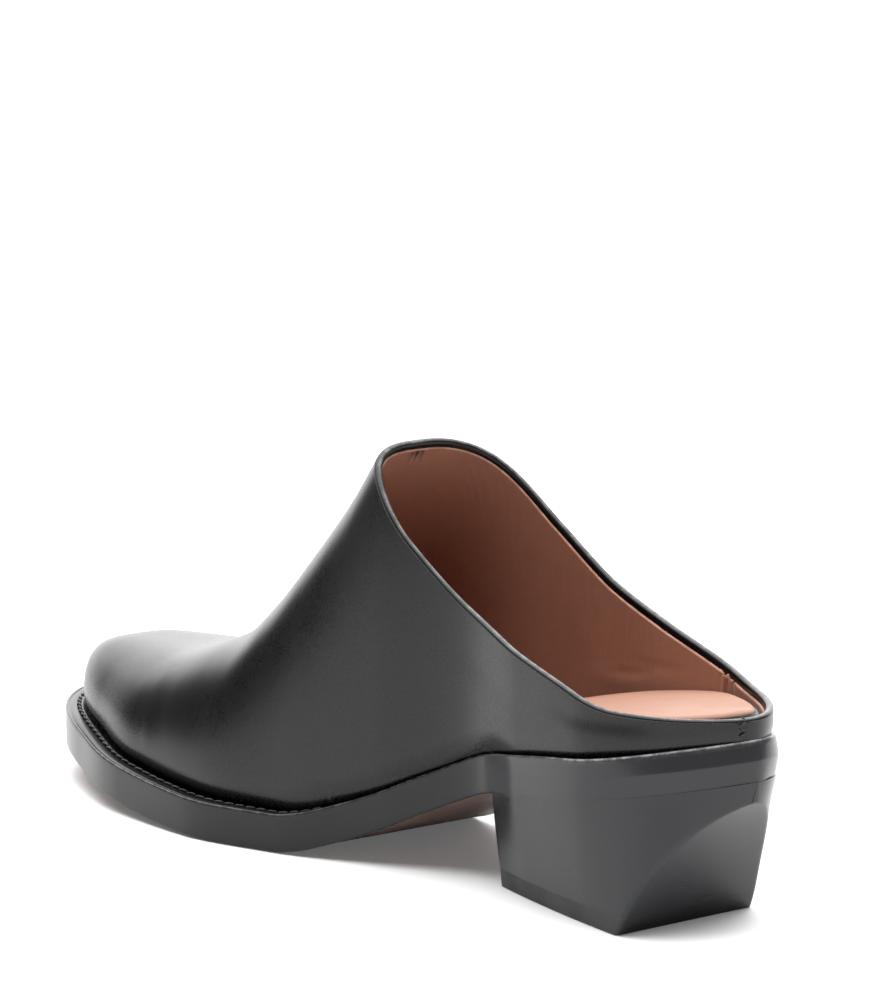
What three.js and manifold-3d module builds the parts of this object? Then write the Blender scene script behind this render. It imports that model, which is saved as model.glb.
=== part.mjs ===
/**
 * Heeled mule, left foot, standing on its sole.
 *
 * Frame: millimetres, +Z up, +X from the heel to the toe, +Y to the wearer's left, the outer side of
 * the foot. The origin is on the floor, in the middle of the heel's ground face.
 *
 * A station is a distance forward of the back of the sole. Every form is worked out at stations, from
 * the driving sizes and the tables of proportions below, so the shoe keeps its shape when they change.
 */
import * as THREE from 'three';
import { mergeVertices } from 'three/addons/utils/BufferGeometryUtils.js';
import Module from 'manifold-3d';

// ---- Driving sizes -------------------------------------------------------------------------------

const LENGTH = 270;          // sole, back of the heel seat to the tip of the toe
const BALL_WIDTH = 84;       // widest part of the sole
const HEEL_HEIGHT = 38;      // underside of the outsole above the floor, at the back
const TOE_SPRING = 10;       // underside of the outsole above the floor, at the tip
const INSTEP_HEIGHT = 105;   // top of the throat above the floor
const OUTSOLE_THICK = 4.9;
const WELT_THICK = 4.8;
const WALL = 2;              // leather and lining of the upper together
const TOP_PIECE_THICK = 4.7;
const GAP = 0.3;             // clearance between neighbouring pieces

// ---- Rounding of the ends ------------------------------------------------------------------------

const TOE_ROUND = { length: 59, power: 2.05 };
const HEEL_ROUND = { length: 35, power: 1.87 };
const TOE_CAP_ROUND = { length: 24, power: 2.8 };

// ---- Proportions ---------------------------------------------------------------------------------

// The column `at` is a share of LENGTH. Widths are shares of BALL_WIDTH, each to one side of the
// middle plane: lateral is the outer side of the foot, medial the inner side.
const SOLE_WIDTHS = [
  { at: 0.00, lateral: 0.336, medial: 0.276 },
  { at: 0.12, lateral: 0.343, medial: 0.314 },
  { at: 0.22, lateral: 0.305, medial: 0.338 },
  { at: 0.31, lateral: 0.212, medial: 0.318 },
  { at: 0.42, lateral: 0.311, medial: 0.309 },
  { at: 0.53, lateral: 0.437, medial: 0.358 },
  { at: 0.64, lateral: 0.511, medial: 0.440 },
  { at: 0.75, lateral: 0.493, medial: 0.482 },
  { at: 0.86, lateral: 0.418, medial: 0.466 },
  { at: 1.00, lateral: 0.363, medial: 0.402 },
];

// The wall of the upper stands outside the sole at the waist and inside it at the forefoot.
const WALL_WIDTHS = [
  { at: 0.00, lateral: 0.313, medial: 0.252 },
  { at: 0.12, lateral: 0.326, medial: 0.302 },
  { at: 0.22, lateral: 0.300, medial: 0.344 },
  { at: 0.31, lateral: 0.252, medial: 0.374 },
  { at: 0.42, lateral: 0.327, medial: 0.355 },
  { at: 0.53, lateral: 0.402, medial: 0.342 },
  { at: 0.64, lateral: 0.456, medial: 0.386 },
  { at: 0.75, lateral: 0.432, medial: 0.424 },
  { at: 0.86, lateral: 0.358, medial: 0.408 },
  { at: 1.00, lateral: 0.312, medial: 0.358 },
];

// Height of the outsole's underside: `heel` is a share of HEEL_HEIGHT, `toe` of TOE_SPRING.
// Between the two rows with zeros the sole lies flat on the floor.
const UNDERSIDE = [
  { at: 0.000, heel: 1.000, toe: 0.00 },
  { at: 0.107, heel: 0.855, toe: 0.00 },
  { at: 0.180, heel: 0.782, toe: 0.00 },
  { at: 0.295, heel: 0.626, toe: 0.00 },
  { at: 0.367, heel: 0.418, toe: 0.00 },
  { at: 0.422, heel: 0.232, toe: 0.00 },
  { at: 0.470, heel: 0.100, toe: 0.00 },
  { at: 0.500, heel: 0.032, toe: 0.00 },
  { at: 0.530, heel: 0.000, toe: 0.00 },
  { at: 0.600, heel: 0.000, toe: 0.00 },
  { at: 0.680, heel: 0.000, toe: 0.11 },
  { at: 0.790, heel: 0.000, toe: 0.42 },
  { at: 0.900, heel: 0.000, toe: 0.80 },
  { at: 1.000, heel: 0.000, toe: 1.00 },
];

// Ledge of the welt outside the upper's lower edge, and the sideways drift of the middle line, in mm.
const WELT_LEDGE = [
  { at: 0.00, ledge: 1.6, middle: 0.0 },
  { at: 0.20, ledge: 0.9, middle: 0.0 },
  { at: 0.33, ledge: 0.5, middle: 0.2 },
  { at: 0.50, ledge: 3.0, middle: 1.0 },
  { at: 0.65, ledge: 5.4, middle: 1.0 },
  { at: 0.86, ledge: 5.9, middle: -1.2 },
  { at: 1.00, ledge: 4.5, middle: -4.5 },
];

// Sections of the last. `crown` is the height of the ridge as a share of INSTEP_HEIGHT, `ridge` its
// sideways place in mm. `flank` and `shoulder` are powers: under 1 the section is fuller there.
const SECTIONS = [
  { at: 0.13, crown: 1.540, ridge: 0.0, flank: 0.36, shoulder: 0.90 },
  { at: 0.27, crown: 1.445, ridge: 0.0, flank: 0.58, shoulder: 0.83 },
  { at: 0.39, crown: 1.277, ridge: 0.1, flank: 0.65, shoulder: 0.82 },
  { at: 0.50, crown: 0.899, ridge: 1.4, flank: 0.77, shoulder: 0.82 },
  { at: 0.545, crown: 0.767, ridge: 0.8, flank: 0.79, shoulder: 0.85 },
  { at: 0.59, crown: 0.638, ridge: -0.2, flank: 0.80, shoulder: 0.87 },
  { at: 0.635, crown: 0.530, ridge: -0.5, flank: 0.79, shoulder: 0.87 },
  { at: 0.68, crown: 0.466, ridge: 0.3, flank: 0.76, shoulder: 0.84 },
  { at: 0.79, crown: 0.379, ridge: 0.3, flank: 0.69, shoulder: 0.80 },
  { at: 0.89, crown: 0.359, ridge: 0.2, flank: 0.64, shoulder: 0.71 },
  { at: 1.00, crown: 0.346, ridge: -3.5, flank: 0.58, shoulder: 0.60 },
];

// Height of the topline, as a share of INSTEP_HEIGHT. Where it meets the ridge it makes the throat.
const TOPLINE = [
  { at: 0.00, height: 0.507 },
  { at: 0.09, height: 0.517 },
  { at: 0.16, height: 0.561 },
  { at: 0.24, height: 0.612 },
  { at: 0.31, height: 0.670 },
  { at: 0.385, height: 0.806 },
  { at: 0.46, height: 0.979 },
  { at: 0.54, height: 1.095 },
];

// Height over which the wall of the upper tucks in to its lower edge.
const TUCK_HEIGHT = 8;

// Heel block: front and back edges of its ground face, how far they stand in from the seat above, and
// the slope of the cut that undercuts the back of the block. `hollow` is the share by which the slope
// has grown at the seat, so that the cut is slightly hollow.
const HEEL = {
  front: 0.2905 * LENGTH,
  frontLean: -1.9,
  backEdge: 0.084 * LENGTH,
  backLean: 1.8,
  undercut: 0.565,
  hollow: 0.3,
};

// Waist of the heel: how far its sides draw in between the seat and the ground, toward the back.
const HEEL_WAIST = { lateral: -0.6, medial: 3.8, power: 1.45, from: 14, to: 50 };

// Ground face of the heel: shares of BALL_WIDTH at its back and front edges, with slightly bowed sides.
const GROUND_FACE = {
  back: { lateral: 0.298, medial: 0.230 },
  front: { lateral: 0.167, medial: 0.198 },
  bow: 0.9,
};

// Insole: a padded footbed, thick under the heel and thin under the toes. It stops short of the wall
// by `clearance`, and of the back of the upper by `backGap`. Its inner edge stands in by `innerGap` at
// the back of the heel.
const INSOLE = { clearance: 0.4, backGap: 1.4, innerGap: 4, from: 17, to: 42 };
const INSOLE_THICKNESS = [
  { at: 0.00, thick: 6.4 },
  { at: 0.04, thick: 7.5 },
  { at: 0.08, thick: 8.9 },
  { at: 0.12, thick: 9.4 },
  { at: 0.32, thick: 9.2 },
  { at: 0.48, thick: 6.0 },
  { at: 0.62, thick: 3.2 },
  { at: 1.00, thick: 3.0 },
];

const STATIONS = { sole: 46, heel: 22, quarter: 30, vamp: 26, wallRows: 12 };

// ---- Curves through tables -----------------------------------------------------------------------

/** Value of one column of a table at a station: a smooth curve that never overshoots its rows. */
function column(table, name, station) {
  const share = THREE.MathUtils.clamp(station / LENGTH, table[0].at, table[table.length - 1].at);
  let low = 0;
  while (low < table.length - 2 && table[low + 1].at < share) {
    low += 1;
  }
  const span = table[low + 1].at - table[low].at;
  const t = (share - table[low].at) / span;
  const startSlope = rowSlope(table, name, low) * span;
  const endSlope = rowSlope(table, name, low + 1) * span;
  const start = table[low][name];
  const end = table[low + 1][name];
  const rise = end - start;
  const square = t * t;
  const cube = square * t;
  return start + rise * (3 * square - 2 * cube)
    + startSlope * (cube - 2 * square + t) + endSlope * (cube - square);
}

/** Slope of a column at one of its rows: the harmonic mean of the slopes on either side. */
function rowSlope(table, name, row) {
  const slopeAfter = (index) => {
    const run = table[index + 1].at - table[index].at;
    return (table[index + 1][name] - table[index][name]) / run;
  };
  if (row === 0) {
    return slopeAfter(0);
  }
  if (row === table.length - 1) {
    return slopeAfter(row - 1);
  }
  const before = slopeAfter(row - 1);
  const after = slopeAfter(row);
  return before * after <= 0 ? 0 : (2 * before * after) / (before + after);
}

/** Superellipse falling from 1 to 0 over a rounded end, where `into` runs from 0 to 1. */
function roundedEnd(into, power) {
  const inside = THREE.MathUtils.clamp(into, 0, 1);
  return Math.pow(Math.max(0, 1 - Math.pow(inside, power)), 1 / power);
}

/** Share of the full width left at a station of an outline that runs from `back` to `front`. */
function endRounding(station, back, front) {
  const toe = roundedEnd((station - front + TOE_ROUND.length) / TOE_ROUND.length, TOE_ROUND.power);
  const heel = roundedEnd((back + HEEL_ROUND.length - station) / HEEL_ROUND.length, HEEL_ROUND.power);
  return toe * heel;
}

/** Stations from `back` to `front`, crowded where the outline turns. */
function crowdedStations(back, front, count) {
  return Array.from({ length: count + 1 }, (_, index) => {
    const turn = (Math.PI * index) / count;
    return back + (front - back) * (0.5 - 0.5 * Math.cos(turn));
  });
}

/** Height of the outsole's underside above the floor. */
function underside(station) {
  return column(UNDERSIDE, 'heel', station) * HEEL_HEIGHT + column(UNDERSIDE, 'toe', station) * TOE_SPRING;
}

const WELT_BOTTOM = OUTSOLE_THICK + GAP;
const WELT_TOP = WELT_BOTTOM + WELT_THICK;
const UPPER_BOTTOM = WELT_TOP + GAP;

/** Sideways places of an outline at a station: the sole's edge, moved in by `inset`. */
function soleEdges(station, inset) {
  const rounding = endRounding(station, inset, LENGTH - inset);
  const middle = column(WELT_LEDGE, 'middle', station);
  const lateral = column(SOLE_WIDTHS, 'lateral', station) * BALL_WIDTH - middle - inset;
  const medial = column(SOLE_WIDTHS, 'medial', station) * BALL_WIDTH + middle - inset;
  return { lateral: middle + lateral * rounding, medial: middle - medial * rounding };
}

// ---- Meshes --------------------------------------------------------------------------------------

/** A closed geometry from corner triples, without the ones whose corners have run together. */
function closedGeometry(triangles) {
  const positions = triangles.flat().flatMap((point) => point.toArray());
  const geometry = new THREE.BufferGeometry();
  geometry.setAttribute('position', new THREE.Float32BufferAttribute(positions, 3));
  const welded = mergeVertices(geometry, 1e-3);
  const corners = welded.index.array;
  const kept = [];
  for (let start = 0; start < corners.length; start += 3) {
    const [a, b, c] = corners.slice(start, start + 3);
    if (a !== b && b !== c && c !== a) {
      kept.push(a, b, c);
    }
  }
  welded.setIndex(kept);
  return welded;
}

/** Two triangles across a four-sided patch whose corners run anticlockwise, seen from outside. */
function patch(a, b, c, d) {
  return [[a, b, c], [a, c, d]];
}

/**
 * A solid lofted through level rings. A ring holds matching lateral and medial points from back to
 * front, so its caps are strips across the shoe.
 */
function loftedSolid(rings) {
  const triangles = [];
  const loop = (ring) => [...ring.lateral, ...[...ring.medial].reverse()];
  for (let level = 0; level < rings.length - 1; level += 1) {
    const lower = loop(rings[level]);
    const upper = loop(rings[level + 1]);
    lower.forEach((point, index) => {
      const next = (index + 1) % lower.length;
      triangles.push(...patch(upper[index], upper[next], lower[next], point));
    });
  }
  const floor = rings[0];
  const roof = rings[rings.length - 1];
  for (let index = 0; index < floor.lateral.length - 1; index += 1) {
    const next = index + 1;
    triangles.push(...patch(roof.medial[index], roof.medial[next], roof.lateral[next], roof.lateral[index]));
    triangles.push(...patch(floor.lateral[index], floor.lateral[next], floor.medial[next], floor.medial[index]));
  }
  return closedGeometry(triangles);
}

/** A ring of points at the given stations, from functions for the two edges and the height. */
function ringAt(stations, edgesAt, heightAt) {
  const ring = { lateral: [], medial: [] };
  for (const station of stations) {
    const edges = edgesAt(station);
    const height = heightAt(station);
    ring.lateral.push(new THREE.Vector3(station, edges.lateral, height));
    ring.medial.push(new THREE.Vector3(station, edges.medial, height));
  }
  return ring;
}

/** One layer of the sole: full outline, between two heights above the outsole's underside. */
function soleLayer(bottom, top) {
  const flatSpot = UNDERSIDE.filter((row) => row.heel === 0 && row.toe === 0).map((row) => row.at * LENGTH);
  const stations = crowdedStations(0, LENGTH, STATIONS.sole).concat(flatSpot).sort((a, b) => a - b);
  const edges = (station) => soleEdges(station, 0);
  return loftedSolid([
    ringAt(stations, edges, (station) => underside(station) + bottom),
    ringAt(stations, edges, (station) => underside(station) + top),
  ]);
}

// ---- Upper ---------------------------------------------------------------------------------------

const UPPER_BACK = WELT_LEDGE[0].ledge;
const UPPER_FRONT = LENGTH - WELT_LEDGE[WELT_LEDGE.length - 1].ledge;

/** Height of the last's ridge above the floor, before the toe rounds it off. */
function ridgeHeight(station) {
  return column(SECTIONS, 'crown', station) * INSTEP_HEIGHT;
}

/** Height of the topline above the floor. */
function toplineHeight(station) {
  return column(TOPLINE, 'height', station) * INSTEP_HEIGHT;
}

/** Station at which the topline meets the ridge, found by halving. */
function throatStation() {
  let low = TOPLINE[4].at * LENGTH;
  let high = TOPLINE[TOPLINE.length - 1].at * LENGTH;
  for (let step = 0; step < 40; step += 1) {
    const middle = (low + high) / 2;
    if (toplineHeight(middle) < ridgeHeight(middle)) {
      low = middle;
    } else {
      high = middle;
    }
  }
  return low;
}

const THROAT = throatStation();

/** Stations of the upper: crowded at the back, at the throat and at the tip of the toe. */
function upperStations() {
  const quarter = crowdedStations(UPPER_BACK, THROAT, STATIONS.quarter);
  const vamp = Array.from({ length: STATIONS.vamp }, (_, index) => {
    const turn = (0.5 * Math.PI * (index + 1)) / STATIONS.vamp;
    return THROAT + (UPPER_FRONT - THROAT) * Math.sin(turn);
  });
  return [...quarter, ...vamp];
}

/**
 * Points of one side of a section, from the lower edge up to the topline or the ridge.
 * The side is +1 for lateral and -1 for medial.
 */
function sectionPoints(station, side) {
  const name = side > 0 ? 'lateral' : 'medial';
  const middle = column(WELT_LEDGE, 'middle', station);
  const ledge = column(WELT_LEDGE, 'ledge', station);
  const rounding = endRounding(station, UPPER_BACK, UPPER_FRONT);
  const wall = (column(WALL_WIDTHS, name, station) * BALL_WIDTH - side * middle) * rounding;
  const edge = (column(SOLE_WIDTHS, name, station) * BALL_WIDTH - side * middle - ledge) * rounding;
  const bottom = underside(station) + UPPER_BOTTOM;
  const capStart = UPPER_FRONT - TOE_CAP_ROUND.length;
  const cap = roundedEnd((station - capStart) / TOE_CAP_ROUND.length, TOE_CAP_ROUND.power);
  const rise = (ridgeHeight(station) - bottom) * cap;
  const ridge = column(SECTIONS, 'ridge', station);
  const flank = column(SECTIONS, 'flank', station);
  const shoulder = column(SECTIONS, 'shoulder', station);
  const open = station < THROAT - 1e-6;
  const share = open ? THREE.MathUtils.clamp((toplineHeight(station) - bottom) / rise, 0, 1) : 1;
  const lastTurn = Math.asin(Math.pow(share, 1 / shoulder));
  return Array.from({ length: STATIONS.wallRows + 1 }, (_, row) => {
    const turn = (lastTurn * row) / STATIONS.wallRows;
    const isRidge = !open && row === STATIONS.wallRows;
    const lift = isRidge ? rise : rise * Math.pow(Math.sin(turn), shoulder);
    const spread = isRidge ? 0 : Math.pow(Math.cos(turn), flank);
    const tuck = (wall - edge) * Math.pow(Math.max(0, 1 - lift / TUCK_HEIGHT), 2);
    const sideways = ridge * (1 - spread) + middle * spread + side * spread * (wall - tuck);
    return new THREE.Vector3(station, rise > 0 ? sideways : middle, bottom + lift);
  });
}

/** Triangles of one side of the upper's skin, with their fronts facing out of the shoe. */
function skinTriangles(grid, side) {
  const triangles = [];
  for (let index = 0; index < grid.length - 1; index += 1) {
    for (let row = 0; row < grid[index].length - 1; row += 1) {
      const corners = [grid[index][row], grid[index][row + 1], grid[index + 1][row + 1], grid[index + 1][row]];
      triangles.push(...patch(...(side > 0 ? corners : corners.reverse())));
    }
  }
  return triangles;
}

/** The same point, moved into the shoe by the wall thickness, for every point of the outer skin. */
function innerSkin(outerGrids, triangles) {
  const key = (point) => point.toArray().map((value) => Math.round(value * 1000)).join(' ');
  const normals = new Map();
  for (const [a, b, c] of triangles) {
    const normal = b.clone().sub(a).cross(c.clone().sub(a));
    for (const corner of [a, b, c]) {
      const sum = normals.get(key(corner)) ?? new THREE.Vector3();
      normals.set(key(corner), sum.add(normal));
    }
  }
  return outerGrids.map((grid) => grid.map((section) => section.map((point) => {
    const normal = normals.get(key(point)).clone().normalize();
    const inner = point.clone().addScaledVector(normal, -WALL);
    inner.z = Math.max(inner.z, section[0].z);
    return inner;
  })));
}

/** The upper: one hollow wall, open at the collar and underneath. */
function upperGeometry() {
  const stations = upperStations();
  const outer = [1, -1].map((side) => stations.map((station) => sectionPoints(station, side)));
  const skin = [...skinTriangles(outer[0], 1), ...skinTriangles(outer[1], -1)];
  const inner = innerSkin(outer, skin);
  const lining = [...skinTriangles(inner[0], 1), ...skinTriangles(inner[1], -1)];
  const rims = [];
  const lastRow = STATIONS.wallRows;
  for (let index = 0; index < stations.length - 1; index += 1) {
    const next = index + 1;
    [1, -1].forEach((side, order) => {
      const rim = (row) => {
        const corners = [outer[order][index][row], outer[order][next][row]];
        return [...corners, inner[order][next][row], inner[order][index][row]];
      };
      const lower = rim(0);
      rims.push(...patch(...(side > 0 ? lower : lower.reverse())));
      if (index < STATIONS.quarter) {
        const collar = rim(lastRow);
        rims.push(...patch(...(side > 0 ? collar.reverse() : collar)));
      }
    });
  }
  const inward = lining.map(([a, b, c]) => [a, c, b]);
  return closedGeometry([...skin, ...inward, ...rims]);
}

// ---- Insole --------------------------------------------------------------------------------------

/** The insole: a thin pad on the welt, inside the upper, with a rounded end short of the back. */
function insoleGeometry() {
  const back = UPPER_BACK + WALL + INSOLE.backGap;
  const front = UPPER_FRONT - WALL - INSOLE.clearance;
  const stations = crowdedStations(back, front, STATIONS.sole);
  const edges = (station) => {
    const rounding = endRounding(station, back, front);
    const middle = column(WELT_LEDGE, 'middle', station);
    const inset = column(WELT_LEDGE, 'ledge', station) + WALL + INSOLE.clearance;
    const lateral = column(SOLE_WIDTHS, 'lateral', station) * BALL_WIDTH - middle - inset;
    const gap = INSOLE.innerGap * (1 - THREE.MathUtils.smoothstep(station, INSOLE.from, INSOLE.to));
    const medial = column(SOLE_WIDTHS, 'medial', station) * BALL_WIDTH + middle - inset - gap;
    return { lateral: middle + lateral * rounding, medial: middle - medial * rounding };
  };
  const top = (station) => underside(station) + UPPER_BOTTOM + column(INSOLE_THICKNESS, 'thick', station);
  return loftedSolid([
    ringAt(stations, edges, (station) => underside(station) + UPPER_BOTTOM),
    ringAt(stations, edges, top),
  ]);
}

// ---- Heel ----------------------------------------------------------------------------------------

/** Sideways places of the ground face's outline, rounded behind the back edge, where it is cut away. */
function groundEdges(station) {
  const along = THREE.MathUtils.mapLinear(station, HEEL.backEdge, HEEL.front, 0, 1);
  const rounding = roundedEnd((HEEL.backEdge - station) / (HEEL.backEdge - HEEL.backLean), 2);
  const bow = GROUND_FACE.bow * Math.max(0, 4 * along * (1 - along));
  const width = (name) => {
    const share = THREE.MathUtils.lerp(GROUND_FACE.back[name], GROUND_FACE.front[name], along);
    return (share * BALL_WIDTH + bow) * rounding;
  };
  return { lateral: width('lateral'), medial: -width('medial') };
}

/** Heel and top piece together: the seat's outline above, tapering to a smaller ground face. */
function wholeHeelGeometry() {
  const levels = [0, 0.15, 0.3, 0.45, 0.6, 0.75, 0.88, 1];
  const rings = levels.map((level) => {
    const waistLevel = level ** HEEL_WAIST.power;
    const waist = 4 * waistLevel * (1 - waistLevel);
    const back = HEEL.backLean * (1 - level);
    const front = HEEL.front + HEEL.frontLean * level;
    const stations = Array.from({ length: STATIONS.heel + 1 }, (_, index) => {
      const turn = (0.5 * Math.PI * index) / STATIONS.heel;
      return back + (front - back) * (1 - Math.cos(turn));
    });
    const edges = (station) => {
      const seat = soleEdges(station - back, 0);
      const ground = groundEdges(station - back + HEEL.backLean);
      const drawn = waist * (1 - THREE.MathUtils.smoothstep(station, HEEL_WAIST.from, HEEL_WAIST.to));
      return {
        lateral: THREE.MathUtils.lerp(ground.lateral, seat.lateral, level) - HEEL_WAIST.lateral * drawn,
        medial: THREE.MathUtils.lerp(ground.medial, seat.medial, level) + HEEL_WAIST.medial * drawn,
      };
    };
    return ringAt(stations, edges, (station) => level * (underside(station) - GAP));
  });
  return loftedSolid(rings);
}

/** Box between two corners, as a geometry in the heel's own frame. */
function boxBetween(low, high) {
  const size = high.clone().sub(low);
  const centre = low.clone().add(high).multiplyScalar(0.5);
  return new THREE.BoxGeometry(size.x, size.y, size.z).translate(centre.x, centre.y, centre.z);
}

/** Station of the cut behind the heel, at a height. */
function cutStation(height) {
  const growth = 1 + HEEL.hollow * Math.max(0, height / HEEL_HEIGHT) ** 3;
  return HEEL.backEdge - HEEL.undercut * height * growth;
}

/** The block that is cut away behind the heel, with a hollow front face that leans to undercut the back. */
function undercutBlock() {
  const reach = 120;
  const heights = Array.from({ length: 15 }, (_, index) => -10 + 4 * index);
  const face = heights.map((height) => new THREE.Vector2(cutStation(height), height));
  const top = heights[heights.length - 1];
  const outline = [...face, new THREE.Vector2(-reach, top), new THREE.Vector2(-reach, heights[0])];
  const block = new THREE.ExtrudeGeometry(new THREE.Shape(outline), { depth: reach, bevelEnabled: false });
  return block.rotateX(Math.PI / 2).translate(0, reach / 2, 0);
}

/** A solid for cutting, from a closed geometry. */
function toSolid(wasm, geometry) {
  const bare = geometry.clone();
  bare.deleteAttribute('normal');
  bare.deleteAttribute('uv');
  const welded = mergeVertices(bare, 1e-3);
  const mesh = new wasm.Mesh({
    numProp: 3,
    vertProperties: new Float32Array(welded.attributes.position.array),
    triVerts: new Uint32Array(welded.index.array),
  });
  return new wasm.Manifold(mesh);
}

/** A geometry from a cut solid. */
function toGeometry(solid) {
  const mesh = solid.getMesh();
  const geometry = new THREE.BufferGeometry();
  geometry.setAttribute('position', new THREE.BufferAttribute(mesh.vertProperties, 3));
  geometry.setIndex(new THREE.BufferAttribute(mesh.triVerts, 1));
  return geometry;
}

/** Heel block and top piece, parted by a level gap above the floor. */
function heelGeometries(wasm) {
  const whole = toSolid(wasm, wholeHeelGeometry()).subtract(toSolid(wasm, undercutBlock()));
  const low = new THREE.Vector3(-50, -100, -50);
  const high = new THREE.Vector3(150, 100, TOP_PIECE_THICK);
  const slab = toSolid(wasm, boxBetween(low, high));
  const slabAndGap = toSolid(wasm, boxBetween(low, high.clone().setZ(TOP_PIECE_THICK + GAP)));
  return { heel: toGeometry(whole.subtract(slabAndGap)), topPiece: toGeometry(whole.intersect(slab)) };
}

// ---- Assembly ------------------------------------------------------------------------------------

/** A named piece with a material of its own. */
function piece(name, geometry, look) {
  geometry.computeVertexNormals();
  const mesh = new THREE.Mesh(geometry, new THREE.MeshStandardMaterial({ metalness: 0, ...look }));
  mesh.name = name;
  return mesh;
}

const wasm = await Module();
wasm.setup();
const heelParts = heelGeometries(wasm);

const shoe = new THREE.Group();
shoe.add(
  piece('upper', upperGeometry(), { color: 0x111112, roughness: 0.38 }),
  piece('insole', insoleGeometry(), { color: 0xd3a78d, roughness: 0.6 }),
  piece('welt', soleLayer(WELT_BOTTOM, WELT_TOP), { color: 0x0f0f10, roughness: 0.42 }),
  piece('outsole', soleLayer(0, OUTSOLE_THICK), { color: 0xa9775a, roughness: 0.55 }),
  piece('heel', heelParts.heel, { color: 0x121213, roughness: 0.35 }),
  piece('top_piece', heelParts.topPiece, { color: 0x0a0a0a, roughness: 0.75 }),
);

// The origin moves from the back of the sole to the middle of the heel's ground face.
const groundMiddle = (HEEL.backEdge + HEEL.front) / 2;
const middleEdges = groundEdges(groundMiddle);
shoe.position.set(-groundMiddle, -(middleEdges.lateral + middleEdges.medial) / 2, 0);

export default shoe;
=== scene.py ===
"""Heeled leather mule for the left foot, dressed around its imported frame.

Lengths inside the classes are millimetres and are turned to metres when a mesh is made. A station is
a distance forward of the back of the sole. The frame's origin is in the middle of the heel's ground
face, +X to the toe, +Y to the outer side of the foot, +Z up.
"""

import logging
import math
from dataclasses import dataclass, field
from enum import Enum

import bpy
import numpy as np
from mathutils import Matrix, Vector


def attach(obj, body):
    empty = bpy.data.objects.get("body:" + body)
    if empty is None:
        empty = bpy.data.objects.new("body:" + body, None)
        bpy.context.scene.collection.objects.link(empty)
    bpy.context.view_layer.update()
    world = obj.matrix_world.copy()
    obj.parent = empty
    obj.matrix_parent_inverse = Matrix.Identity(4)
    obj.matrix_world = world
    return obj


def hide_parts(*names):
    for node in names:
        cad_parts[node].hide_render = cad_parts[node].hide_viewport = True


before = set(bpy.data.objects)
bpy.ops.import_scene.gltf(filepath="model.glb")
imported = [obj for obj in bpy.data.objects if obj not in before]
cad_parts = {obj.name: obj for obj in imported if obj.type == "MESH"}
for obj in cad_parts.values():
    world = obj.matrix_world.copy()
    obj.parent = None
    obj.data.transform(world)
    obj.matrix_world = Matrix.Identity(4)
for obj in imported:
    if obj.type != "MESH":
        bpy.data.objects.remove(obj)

LOG = logging.getLogger("mule")
MM = 0.001
BODY = "root"
WELD_DISTANCE = 0.002

Point = tuple[float, float, float]
Colour = tuple[float, float, float]

# ---- Driving sizes and proportions ---------------------------------------------------------------

LENGTH = 270.0
BALL_WIDTH = 84.0
HEEL_HEIGHT = 38.0
TOE_SPRING = 10.0
INSTEP_HEIGHT = 105.0

# heights above the outsole's underside
OUTSOLE_TOP = 5.05
WELT_TOP = 10.0
UPPER_FOOT = 9.1
FOOTBED_FOOT = 10.1

# height above the floor
TOP_PIECE_TOP = 4.85

# heights above the upper's foot, below which it tucks in to the welt
TUCK_HEIGHT = 8.0
CREVICE_HEIGHT = 4.6

# how far the sole's lower edge and the heel's seat lie inside the sole's top edge, at the inner back
# and on the outer side, with the stations and the sideways places over which each grows to its full
# size
SEAT_INSET = 1.2
SEAT_SPAN = (50.0, 14.0)
SEAT_SIDE = (2.0, -8.0)
OUTER_INSET = 0.4
OUTER_SPAN = (86.0, 70.0)
OUTER_SIDE = (-2.0, 6.0)
INSET_POWER = 1.5

# length of each rounded end, with the power of its superellipse
TOE_ROUND = (59.0, 2.05)
HEEL_ROUND = (35.0, 1.87)
TOE_CAP_ROUND = (24.0, 2.8)

UPPER_BACK = 1.6
UPPER_FRONT = LENGTH - 4.5


class Side(Enum):
    """Outer and inner side of the foot, with the sign of their sideways direction."""

    LATERAL = 1
    MEDIAL = -1


class Table:
    """Proportions at shares of the shoe's length, read through curves that never overshoot."""

    def __init__(self, columns: str, *rows: tuple[float, ...]) -> None:
        """Stores the rows.

        Args:
            columns: names of the columns after the first, which is the share of the length.
            rows: one tuple for each share.
        """
        values = np.array(rows, float)
        self.at = values[:, 0]
        self.columns = {name: values[:, i + 1] for i, name in enumerate(columns.split())}

    def read(self, name: str, station: np.ndarray) -> np.ndarray:
        """Reads one column at stations.

        Args:
            name: the column.
            station: stations in millimetres.

        Returns:
            The column's values, of the same shape as the stations.
        """
        values = self.columns[name]
        share = np.clip(np.asarray(station, float) / LENGTH, self.at[0], self.at[-1])
        low = np.clip(np.searchsorted(self.at, share, side="left") - 1, 0, len(self.at) - 2)
        slopes = self._slopes(values)
        span = self.at[low + 1] - self.at[low]
        t = (share - self.at[low]) / span
        square, cube = t * t, t * t * t
        rise = values[low + 1] - values[low]
        eased = values[low] + rise * (3 * square - 2 * cube)
        leaving = slopes[low] * span * (cube - 2 * square + t)
        return eased + leaving + slopes[low + 1] * span * (cube - square)

    def _slopes(self, values: np.ndarray) -> np.ndarray:
        """Slope of a column at each row: the harmonic mean of the slopes on its two sides."""
        gaps = np.diff(values) / np.diff(self.at)
        before, after = gaps[:-1], gaps[1:]
        total = before + after
        safe = np.where(np.abs(total) < 1e-12, 1.0, total)
        inner = np.where(before * after <= 0, 0.0, 2 * before * after / safe)
        return np.concatenate([gaps[:1], inner, gaps[-1:]])


# Most values in the tables below come from a fit and from searches made outside this script, and were
# rounded. The footbed's table isn't one of them. Widths are shares of BALL_WIDTH, and heights are shares
# of the size that they belong to. The ledge, the middle, the ridge and the footbed's thickness are in
# millimetres, and the flank and the shoulder are powers.

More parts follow.
